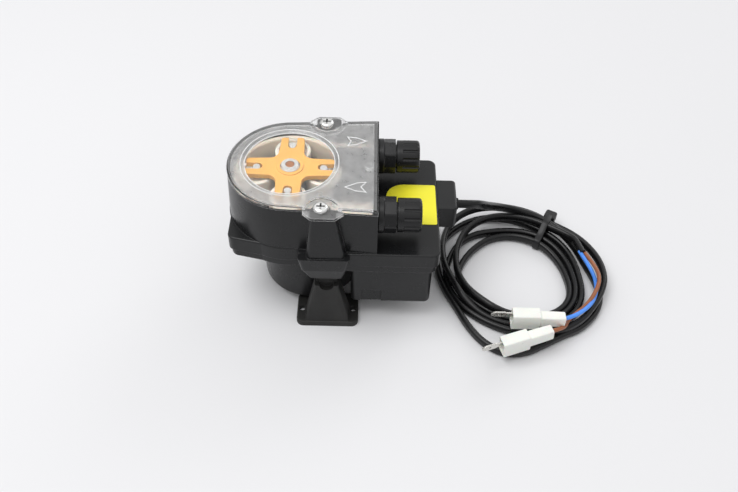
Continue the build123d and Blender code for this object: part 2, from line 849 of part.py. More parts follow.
def motor_pinion():
    turn = mating_turn(0, large_teeth, motor_angle, small_teeth)
    pinion = Rot(0, 0, turn) * spur_gear(small_teeth, lower_gear_width)
    pinion -= rod(motor_shaft_radius + press_gap, 0, lower_gear_width)
    return Pos(cup_x, 0, lower_gear_z) * pinion


def gear_pin():
    return rod(gear_pin_radius, tray_floor_z, chamber_floor_bottom_z + 0.9, lay_x, lay_y)


def gear_plate():
    plate = rod(gear_plate_radius, tray_floor_z, gear_plate_top_z, cup_x)
    plate -= rod(motor_bush_radius + 0.3, tray_floor_z, gear_plate_top_z, cup_x)
    plate -= screw_holes(tray_floor_z, gear_plate_top_z)
    return plate - rod(gear_pin_radius + press_gap, tray_floor_z, gear_plate_top_z, lay_x, lay_y)


def gear_plate_screws():
    # Two short screws hold the motor lid to the gear plate
    screws = []
    for turn in (150, -30):
        x = cup_x + motor_radius * 0.8 * math.cos(math.radians(turn))
        y = motor_radius * 0.8 * math.sin(math.radians(turn))
        screws.append(pan_screw(x, y, gear_plate_top_z, 2.4, 1.2, 1.9, 0.5))
    return screws


def screw_holes(bottom, top):
    holes = None
    for turn in (150, -30):
        x = cup_x + motor_radius * 0.8 * math.cos(math.radians(turn))
        y = motor_radius * 0.8 * math.sin(math.radians(turn))
        hole = rod(1.2 + press_gap, bottom, top, x, y)
        holes = hole if holes is None else holes + hole
    return holes


def motor_can():
    can = rod(motor_radius, motor_bottom_z, motor_top_z - motor_lid_thickness, cup_x)
    can = fillet(can.faces().sort_by(Axis.Z)[0].edges(), 1.0)
    return can - rod(motor_radius - motor_wall, motor_bottom_z + motor_wall, motor_top_z, cup_x)


def motor_lid():
    lid = rod(motor_radius, motor_top_z - motor_lid_thickness, motor_top_z, cup_x)
    lid -= screw_holes(motor_top_z - motor_lid_thickness, motor_top_z)
    return lid - rod(motor_bush_radius + press_gap, motor_top_z - motor_lid_thickness, motor_top_z, cup_x)


def motor_bushes():
    low_z = motor_bottom_z + motor_wall
    high_z = motor_top_z - motor_lid_thickness
    spans = ((low_z, low_z + motor_bush_height), (high_z - 0.8, gear_plate_top_z))
    bushes = []
    for low, high in spans:
        bush = rod(motor_bush_radius, low, high, cup_x)
        bushes.append(bush - rod(motor_shaft_radius + running_gap, low, high, cup_x))
    return bushes


def magnet_rotor():
    low_z = motor_bottom_z + motor_wall + 0.3
    middle_z = (motor_bottom_z + motor_top_z) / 2
    shaft = rod(motor_shaft_radius, low_z, lower_gear_z + lower_gear_width, cup_x)
    magnet = rod(magnet_radius, middle_z - magnet_height / 2, middle_z + magnet_height / 2, cup_x)
    return shaft + chamfer(magnet.edges(), 0.6)


def pole_ring():
    # Claw poles: a slotted sleeve between the coil and the magnet
    inner = magnet_radius + pole_gap
    low_z = motor_bottom_z + motor_wall
    high_z = low_z + coil_height + 1.0
    ring = rod(inner + pole_wall, low_z, high_z, cup_x) - rod(inner, low_z, high_z, cup_x)
    for place in PolarLocations(inner, pole_count):
        slot = place * block((-2, -1.2, low_z + 3), (2, 1.2, high_z - 3))
        ring -= Pos(cup_x, 0, 0) * slot
    return ring


def motor_coil():
    low_z = motor_bottom_z + motor_wall
    coil = rod(coil_outer_radius, low_z, low_z + coil_height, cup_x)
    coil = fillet(coil.edges(), 1.0)
    return coil - rod(coil_inner_radius, low_z, low_z + coil_height, cup_x)


def foot():
    side_x = foot_x
    front = -foot_reach
    plate = rounded_slab(foot_width, front, front + foot_depth, side_x, 0, foot_corner)
    plate = extrude(plate, amount=foot_plate)
    plate = fillet(plate.faces().sort_by(Axis.Z)[-1].edges(), 0.8)
    root = rounded_slab(column_root_width, front + 0.8, -column_back, side_x, foot_plate - 0.2, 1.0)
    tip = rounded_slab(column_top_width, -column_front, -column_back, side_x, column_height, 1.0)
    shape = plate + loft([root, tip])
    # Scoop under the pillar pad, in front of the neck
    neck = block(
        (side_x - neck_width / 2, -neck_front, column_height - 1),
        (side_x + neck_width / 2, -column_back + 0.2, tray_bottom_z),
    )
    shape += neck
    scoop = Pos(side_x, -column_front, column_height + 0.6) * Rot(90, 0, 0) * Cylinder(3.6, 6.0)
    shape -= scoop - block((side_x - 9, -neck_front, 0), (side_x + 9, -column_back, tray_bottom_z))
    shape -= rod(foot_screw_radius + 0.2, foot_screw_sink, tray_bottom_z, side_x, -foot_screw_y)
    shape -= rod(foot_screw_head_radius + 0.2, 0, foot_screw_sink, side_x, -foot_screw_y)
    for offset in (-foot_hole_offset, foot_hole_offset):
        shape -= rod(foot_hole_radius, 0, foot_plate, side_x + offset, -foot_hole_y)
    return shape


def foot_screws():
    up = pan_screw(
        foot_x, -foot_screw_y, foot_screw_sink, foot_screw_length, foot_screw_radius - 0.2 - press_gap,
        foot_screw_head_radius, foot_screw_head_height,
    )
    near = upside_down(up, foot_screw_sink)
    return [near, mirror(near, about=Plane.XZ)]


def drive_board():
    low_z = box_bottom_z + floor_wall + board_lift
    high_z = low_z + board_thickness
    board = block((board_left, -board_half_width, low_z), (board_right, board_half_width, high_z))
    for x, y in board_posts():
        board -= rod(1.5, low_z, low_z + board_thickness, x, y)
    return board


def board_parts():
    # Relay, capacitor, terminal block and fuse holder on the board
    z = box_bottom_z + floor_wall + board_lift + board_thickness
    relay = block((board_left + 2, -18, z), (board_left + 16, -3, z + 10))
    capacitor = fillet(rod(5.0, z, z + 12, board_right - 10, 8).edges().sort_by(Axis.Z)[-1:], 0.8)
    terminal = block((board_left + 3, 8, z), (board_left + 15, 22, z + 9))
    for y in (11.5, 18.5):
        terminal -= rod(1.8, z + 5, z + 9, board_left + 9, y)
    fuse = block((board_right - 14, -20, z), (board_right - 5, 0, z + 6))
    return [fillet(relay.edges().filter_by(Axis.Z), 1.0), capacitor, terminal, fuse]


def front_label():
    plate = Pos((label_left + label_right) / 2, (label_low_y + label_high_y) / 2) * Rectangle(
        label_right - label_left, label_high_y - label_low_y
    )
    plate = fillet(plate.vertices().group_by(Axis.X)[0], label_round)
    plate = fillet(plate.vertices().group_by(Axis.X)[-1], label_small_round)
    return slab(plate, platform_z, platform_z + label_thickness)


def lead_grommet():
    outer = lead_radius + grommet_wall
    end = platform_right + block_reach
    sleeve = x_rod(outer, platform_right, end, lead_y, lead_z)
    flange = x_rod(lead_radius + grommet_lip, end, end + grommet_reach, lead_y, lead_z)
    flange = fillet(flange.faces().sort_by(Axis.X)[-1].edges(), grommet_lip / 2)
    bore = x_rod(lead_radius + press_gap, platform_right, end + grommet_reach, lead_y, lead_z)
    return sleeve + flange - bore


def bend_radii(route):
    # Each bend is as large as its two runs allow
    radii = []
    points = [Vector(*point) for point in route]
    for before, corner, after in zip(points, points[1:], points[2:]):
        turn = (corner - before).get_angle(after - corner)
        run = min((corner - before).length, (after - corner).length)
        radii.append(0.45 * run / math.tan(math.radians(turn / 2)))
    return radii


def cord(name, route, radius):
    radii = bend_radii(route)
    path = FilletPolyline(*route, radius=radii)
    solid = sweep(Plane(origin=path @ 0, z_dir=path % 0) * Circle(radius), path=path)
    expected = math.pi * radius**2 * path.length
    print(name, "bend radii", [round(value, 1) for value in radii])
    print(name, "length", round(path.length, 1), "volume share", round(solid.volume / expected, 4))
    return solid


def ellipse_slab(centre, half_sizes, turn, top):
    return Pos(*centre, 0) * Rot(0, 0, turn) * extrude(Ellipse(*half_sizes), amount=top)


def tie_frame():
    # Place of the tie, square across the bundle of turns
    return Pos(tie_point[0], tie_point[1], 0) * Rot(0, 0, tie_turn)


def lead_coil():
    coil = ellipse_slab(coil_centre, coil_half_sizes, coil_turn, coil_height_on_floor)
    coil = fillet(coil.edges(), 2.0)
    coil -= ellipse_slab(coil_hole_centre, coil_hole_half_sizes, coil_hole_turn, coil_height_on_floor)
    # Room for the tie that is drawn tight round the turns
    gap = 0.3
    cut = tie_loop(tie_length + 2 * gap, tie_height + gap, tie_width + 2 * gap, tie_band + 2 * gap)
    coil -= tie_frame() * cut
    # Room for the end of the lead where it joins the turns
    lead_end = Vector(*lead_route[-1])
    back = Vector(*lead_route[-2]) - lead_end
    coil -= Plane(origin=lead_end, z_dir=back) * Cylinder(lead_radius + press_gap, 12, align=MIDDLE)
    start = Vector(*sheath_end_start)
    stop = Vector(*sheath_end_stop)
    along = stop - start
    stub = Plane(origin=start, z_dir=along) * Cylinder(lead_radius, along.length, align=MIDDLE)
    return coil + stub


def tie_loop(length, height, width, band):
    # Upright rounded loop, its plane square to the bundle
    profile = Pos(0, height / 2) * (
        RectangleRounded(length, height, 3.0)
        - RectangleRounded(length - 2 * band, height - 2 * band, 1.8)
    )
    return extrude(Plane.XZ.offset(-width / 2) * profile, amount=width)


def cable_tie():
    loop = tie_loop(tie_length, tie_height, tie_width, tie_band)
    head = Pos(tie_length / 2 + tie_head[0] / 2 - 0.6, 0, tie_height - tie_head[2] / 2) * Box(*tie_head)
    head = fillet(head.edges().filter_by(Axis.X), 0.6)
    return tie_frame() * (loop + head)


def connector(origin, turn):
    # Nylon housing: narrow wire end first, wide blade end after
    narrow = Pos(connector_narrow[0] / 2, 0, 0) * Box(*connector_narrow)
    wide = Pos(connector_narrow[0] + connector_wide[0] / 2, 0, 0) * Box(*connector_wide)
    shape = fillet(narrow.edges().filter_by(Axis.X), connector_corner)
    shape += fillet(wide.edges().filter_by(Axis.X), connector_corner)
    end = connector_narrow[0] + connector_wide[0]
    shape -= block((end - 5, -3.4, -0.7), (end, 3.4, 0.7))
    shape -= x_rod(wire_radius, 0, 6, 0, 0)
    return Pos(*origin) * Rot(0, 0, turn) * shape


def blade(origin, turn):
    # Flat tab with a round crimp neck inside the housing's mouth
    start = connector_narrow[0] + connector_wide[0] - 4.8
    tab = Pos(start + blade_size[0] / 2, 0, 0) * Box(*blade_size)
    tip = tab.edges().filter_by(Axis.Z).group_by(Axis.X)[-1]
    tab = chamfer(tip, 1.6)
    tab -= rod(0.8, -2, 2, start + blade_size[0] - 4.0)
    return Pos(*origin) * Rot(0, 0, turn) * tab


parts["front_case"] = front_case()
parts["rear_case"] = rear_case()
parts["case_gasket"] = case_gasket()
parts["case_screws"] = case_screws()
parts["clear_cover"] = clear_cover()
parts["cover_screws"] = cover_screws()
parts["rotor_star"] = rotor_star()
parts["rotor_base"] = rotor_base()
parts["roller_pins"] = roller_pins()
parts["shaft_ring"] = shaft_ring()
parts["output_shaft"] = output_shaft()
parts["output_gear"] = output_gear()
for number in range(roller_count):
    parts[f"roller_{number + 1}"] = roller(90 * number)
shaft_bush = rod(bush_radius, upper_gear_top_z + 0.6, chamber_floor_z + 0.4)
parts["shaft_bush"] = shaft_bush - rod(shaft_radius + running_gap, upper_gear_top_z, chamber_floor_z + 1)
parts["pump_hose"] = pump_hose()
for label, side in (("outlet", -1), ("inlet", 1)):
    parts[f"{label}_fitting"] = hose_fitting(side)
    parts[f"{label}_nut"] = hose_nut(side)
    parts[f"{label}_clamp_ring"] = clamp_ring(side)
parts["reduction_gear"] = reduction_gear()
parts["gear_pin"] = gear_pin()
parts["gear_plate"] = gear_plate()
parts["gear_plate_screws"] = gear_plate_screws()
parts["motor_pinion"] = motor_pinion()
parts["magnet_rotor"] = magnet_rotor()
parts["motor_can"] = motor_can()
parts["motor_lid"] = motor_lid()
parts["motor_bushes"] = motor_bushes()
parts["pole_ring"] = pole_ring()
parts["motor_coil"] = motor_coil()
near_foot = foot()
parts["near_foot"] = near_foot
parts["far_foot"] = mirror(near_foot, about=Plane.XZ)
parts["foot_screws"] = foot_screws()
parts["drive_board"] = drive_board()
parts["board_parts"] = board_parts()
parts["front_label"] = front_label()
parts["lead_grommet"] = lead_grommet()
parts["lead_tube"] = cord("lead_tube", lead_route, lead_radius)
parts["lead_coil"] = lead_coil()
parts["cable_tie"] = cable_tie()
parts["blue_wire"] = cord("blue_wire", blue_route, wire_radius)
parts["brown_wire"] = cord("brown_wire", brown_route, wire_radius)
parts["blue_connector"] = connector(upper_connector, upper_connector_turn)
parts["brown_connector"] = connector(lower_connector, lower_connector_turn)
parts["blue_blade"] = blade(upper_connector, upper_connector_turn)
parts["brown_blade"] = blade(lower_connector, lower_connector_turn)

os.makedirs("parts", exist_ok=True)
shift = Pos(-origin_x, 0, 0)
for name, shape in parts.items():
    solids = shape if isinstance(shape, list) else [shape]
    moved = [shift * solid for solid in solids]
    export_step(moved[0] if len(moved) == 1 else Compound(children=moved), f"parts/{name}.step")
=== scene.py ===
import json
import math

import bmesh
import bpy
from mathutils import Matrix, Vector


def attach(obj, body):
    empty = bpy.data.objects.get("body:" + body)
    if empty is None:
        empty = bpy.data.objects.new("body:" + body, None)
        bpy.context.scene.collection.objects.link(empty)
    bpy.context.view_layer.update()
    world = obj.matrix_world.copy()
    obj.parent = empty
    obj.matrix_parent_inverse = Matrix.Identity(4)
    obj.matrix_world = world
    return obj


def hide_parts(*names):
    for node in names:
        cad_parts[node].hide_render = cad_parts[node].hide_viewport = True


# Peristaltic dosing pump on a pale studio floor, which is z = 0.
# Pieces are drawn in mm; the routes of the lead and the wires, the lamps and the camera
# are in metres.

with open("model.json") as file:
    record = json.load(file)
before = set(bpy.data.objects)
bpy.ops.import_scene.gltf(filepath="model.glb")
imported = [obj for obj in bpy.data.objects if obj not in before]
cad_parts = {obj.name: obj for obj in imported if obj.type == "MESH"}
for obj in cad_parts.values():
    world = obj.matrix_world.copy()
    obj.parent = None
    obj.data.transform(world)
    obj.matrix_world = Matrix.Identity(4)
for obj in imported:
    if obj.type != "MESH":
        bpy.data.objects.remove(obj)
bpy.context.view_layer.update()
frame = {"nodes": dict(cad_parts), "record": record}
cad = frame["nodes"]
mm = 0.001
rotorX = -25.7  # rotor axis, mm
print("frame loaded:", len(cad), "nodes")


studio = {
    "floorSize": 6.0,
    "floorDrift": 3.0,  # scale of the faint cloud in the paper
    "floorDriftShare": 0.005,
    "floorRough": 0.75,
    "floorSpecular": 0.2,
    "floorColour": (0.80, 0.80, 0.815),
    "worldGlow": 0.71,
    "worldShine": 1.05,
    "worldSeen": 0.92,
    # the room is bright overhead and dimmer towards the walls
    "wallHeight": -0.1,
    "overheadHeight": 0.8,
    "wallShare": 0.35,
    "lamps": {
        "softbox": {
            "size": 0.9, "place": (-0.45, -0.15, 1.3), "aim": (0.0, 0.0, 0.02), "power": 10.2,
        },
        "sideLight": {
            "size": 0.8, "place": (0.9, 1.1, 0.8), "aim": (0.05, 0.0, 0.03), "power": 3.5,
        },
    },
    "cameraPlace": (0.01076, -0.29308, 0.33876),
    "cameraPitch": 47.532,  # degrees below the horizon
    "cameraYaw": 0.486,
    "cameraRoll": 1.663,
    "lens": 40.0,
    "sensor": 36.0,
    "nearest": 0.01,
}


def makeCamera(look):
    pitch = math.radians(look["cameraPitch"])
    yaw = math.radians(look["cameraYaw"])
    roll = math.radians(look["cameraRoll"])
    level = math.cos(pitch)
    ahead = Vector((math.sin(yaw) * level, math.cos(yaw) * level, -math.sin(pitch)))
    right = Vector((math.cos(yaw), -math.sin(yaw), 0.0))
    up = right.cross(ahead)
    rolledRight = right * math.cos(roll) + up * math.sin(roll)
    rolledUp = up * math.cos(roll) - right * math.sin(roll)
    turn = Matrix((rolledRight, rolledUp, -ahead)).transposed()
    data = bpy.data.cameras.new("camera")
    data.lens = look["lens"]
    data.sensor_width = look["sensor"]
    data.clip_start = look["nearest"]
    camera = bpy.data.objects.new("camera", data)
    camera.matrix_world = Matrix.Translation(look["cameraPlace"]) @ turn.to_4x4()
    bpy.context.scene.collection.objects.link(camera)
    bpy.context.scene.camera = camera


def makeLamp(name, look):
    data = bpy.data.lights.new(name, "AREA")
    data.size = look["size"]
    data.energy = look["power"]
    lamp = bpy.data.objects.new(name, data)
    place = Vector(look["place"])
    lamp.location = place
    lamp.rotation_euler = (Vector(look["aim"]) - place).to_track_quat("-Z", "Y").to_euler()
    bpy.context.scene.collection.objects.link(lamp)


makeCamera(studio)
for lampName, lampLook in studio["lamps"].items():
    makeLamp(lampName, lampLook)
bpy.context.scene.view_settings.view_transform = "Standard"
print("camera and lamps placed")


def addNode(tree, kind, sockets=None, **settings):
    # sockets: name or number of an input -> number, colour or another node's output
    made = tree.nodes.new("ShaderNode" + kind)
    for key, value in settings.items():
        setattr(made, key, value)
    for key, value in (sockets or {}).items():
        if isinstance(value, bpy.types.NodeSocket):
            tree.links.new(value, made.inputs[key])
        else:
            made.inputs[key].default_value = value
    return made


def startMaterial(name):
    material = bpy.data.materials.new(name)
    material.use_nodes = True
    tree = material.node_tree
    shader = tree.nodes["Principled BSDF"]
    coords = addNode(tree, "TexCoord").outputs["Object"]
    return material, tree, shader, coords


def noiseAt(tree, coords, scale, detail=2.0, rough=0.5):
    sockets = {"Vector": coords, "Scale": scale, "Detail": detail, "Roughness": rough}
    return addNode(tree, "TexNoise", sockets).outputs["Fac"]


def mapTo(tree, value, fromLow, fromHigh, toLow, toHigh):
    sockets = {"Value": value, 1: fromLow, 2: fromHigh, 3: toLow, 4: toHigh}
    return addNode(tree, "MapRange", sockets).outputs["Result"]


def blendColours(tree, share, first, second):
    made = addNode(tree, "Mix", {0: share, 6: first, 7: second}, data_type="RGBA")
    return made.outputs[2]


def shade(colour, factor):
    return tuple(min(1.0, part * factor) for part in colour) + (1.0,)


def mathOf(tree, operation, first, second=0.0):
    return addNode(tree, "Math", {0: first, 1: second}, operation=operation).outputs[0]


def spread(tree, noise, toLow, toHigh, margin=0.3):
    # stretches the middle of a noise over the wanted range
    return mapTo(tree, noise, margin, 1.0 - margin, toLow, toHigh)


def edgeMask(tree, radius, low, high):
    # 1 on sharp edges and 0 on flat faces
    rounded = addNode(tree, "Bevel", {"Radius": radius}, samples=edgeSamples).outputs["Normal"]
    plain = addNode(tree, "NewGeometry").outputs["Normal"]
    alike = addNode(tree, "VectorMath", {0: rounded, 1: plain}, operation="DOT_PRODUCT")
    return mapTo(tree, alike.outputs["Value"], high, low, 0.0, 1.0), rounded


moulded = {
    "driftDetail": 3.0, "roughFiner": 3.1, "roughDetail": 4.0, "grainRough": 0.6,
    "edgeRange": (0.8, 0.995),
}
edgeSamples = 4


def mouldedFinish(name, look):
    # Moulded plastic or rubber: faint colour drift, fine spark grain and softened edges
    material, tree, shader, coords = startMaterial(name)
    drift = noiseAt(tree, coords, look["driftScale"], moulded["driftDetail"])
    darker = shade(look["colour"], look["darker"])
    lighter = shade(look["colour"], look["lighter"])
    colour = blendColours(tree, spread(tree, drift, 0.0, 1.0), darker, lighter)
    finer = look["driftScale"] * moulded["roughFiner"]
    rough = spread(tree, noiseAt(tree, coords, finer, moulded["roughDetail"]), *look["rough"])
    grain = noiseAt(tree, coords, look["grainScale"], rough=moulded["grainRough"])
    bump = {"Height": grain, "Strength": look["grainStrength"], "Distance": look["grainDepth"]}
    if look.get("edge"):
        mask, rounded = edgeMask(tree, look["edge"], *moulded["edgeRange"])
        worn = mathOf(tree, "MULTIPLY", mask, look["wear"])
        colour = blendColours(tree, worn, colour, shade(look["edgeColour"], 1.0))
        bump["Normal"] = rounded
    tree.links.new(colour, shader.inputs["Base Color"])
    tree.links.new(rough, shader.inputs["Roughness"])
    tree.links.new(addNode(tree, "Bump", bump).outputs["Normal"], shader.inputs["Normal"])
    for socket, value in look.get("sockets", {}).items():
        shader.inputs[socket].default_value = value
    return material


metal = {
    "detail": 3.0, "patchMargin": 0.35, "roughRange": (0.7, 1.3),
    "hollowReach": 0.0012, "hollowShade": 0.12, "hollowRange": (0.35, 0.9), "hollowSamples": 8,
}


def metalFinish(name, look):
    # Plated or turned metal: tool marks, dull patches, a little tarnish and painted shade in
    # recesses
    material, tree, shader, coords = startMaterial(name)
    stretched = addNode(tree, "Mapping", {"Vector": coords, "Scale": look["stretch"]}).outputs[0]
    marks = noiseAt(tree, stretched, look["markScale"], metal["detail"])
    patches = noiseAt(tree, coords, look["patchScale"], metal["detail"])
    share = spread(tree, patches, 0.0, 1.0, metal["patchMargin"])
    colour = blendColours(tree, share, shade(look["colour"], 1.0), shade(look["tarnish"], 1.0))
    rough = mapTo(tree, mathOf(tree, "ADD", marks, patches), *metal["roughRange"], *look["rough"])
    # painted shade: recesses are darkened where ambient occlusion finds nearby surfaces
    near = {"Distance": metal["hollowReach"]}
    samples = metal["hollowSamples"]
    hollow = addNode(tree, "AmbientOcclusion", near, samples=samples, only_local=True)
    openShare = mapTo(tree, hollow.outputs["AO"], *metal["hollowRange"], 0.0, 1.0)
    colour = blendColours(tree, openShare, shade(look["tarnish"], metal["hollowShade"]), colour)
    tree.links.new(colour, shader.inputs["Base Color"])
    tree.links.new(rough, shader.inputs["Roughness"])
    height = {"Height": marks, "Strength": look["markStrength"], "Distance": look["markDepth"]}
    tree.links.new(addNode(tree, "Bump", height).outputs["Normal"], shader.inputs["Normal"])
    shader.inputs["Metallic"].default_value = look["metallic"]
    return material


def clearCoverFinish(name, look):
    # Clear moulding: polished window and edges, frosted top, light falls through it
    material, tree, shader, coords = startMaterial(name)
    place = {"Vector": coords, "Location": (-rotorX * mm, 0, 0), "Scale": (1, 1, 0)}
    flat = addNode(tree, "Mapping", place).outputs[0]
    radius = addNode(tree, "VectorMath", {0: flat}, operation="LENGTH").outputs["Value"]
    frostStart = look["windowRadius"] + look["windowBlend"]
    outside = mapTo(tree, radius, look["windowRadius"], frostStart, 0.0, 1.0)
    parts = addNode(tree, "SeparateXYZ", {0: addNode(tree, "NewGeometry").outputs["Normal"]})
    upright = mathOf(tree, "ABSOLUTE", parts.outputs["Z"])
    facing = mapTo(tree, upright, *look["facingRange"], 0.0, 1.0)
    frosted = mathOf(tree, "MULTIPLY", outside, facing)
    mottle = noiseAt(tree, coords, look["mottleScale"], look["mottleDetail"])
    frostLevel = spread(tree, mottle, *look["frostRough"])
    rough = mathOf(tree, "MULTIPLY_ADD", frosted, frostLevel)
    rough.node.inputs[2].default_value = look["polish"]
    clouds = spread(tree, mottle, 0.0, 1.0, look["cloudMargin"])
    dark = shade(look["frostColour"], look["frostDark"])
    cloudy = blendColours(tree, clouds, dark, shade(look["frostColour"], 1.0))
    colour = blendColours(tree, frosted, shade(look["colour"], 1.0), cloudy)
    # edges of the moulding catch the light
    mask = edgeMask(tree, look["edge"], *look["edgeRange"])[0]
    colour = blendColours(tree, mask, colour, shade(look["edgeColour"], 1.0))
    tree.links.new(colour, shader.inputs["Base Color"])
    tree.links.new(rough, shader.inputs["Roughness"])
    through = mapTo(tree, frosted, 0.0, 1.0, 1.0, look["frostThrough"])
    dulled = mathOf(tree, "MULTIPLY", mask, look["edgeDull"])
    through = mathOf(tree, "SUBTRACT", through, dulled)
    tree.links.new(through, shader.inputs["Transmission Weight"])
    ripple = noiseAt(tree, coords, look["rippleScale"])
    height = {"Height": ripple, "Strength": look["rippleStrength"], "Distance": look["rippleDepth"]}
    tree.links.new(addNode(tree, "Bump", height).outputs["Normal"], shader.inputs["Normal"])
    shader.inputs["IOR"].default_value = look["ior"]
    shadow = addNode(tree, "LightPath").outputs["Is Shadow Ray"]
    alpha = mapTo(tree, shadow, 0.0, 1.0, 1.0, look["shadowAlpha"])
    tree.links.new(alpha, shader.inputs["Alpha"])
    return material


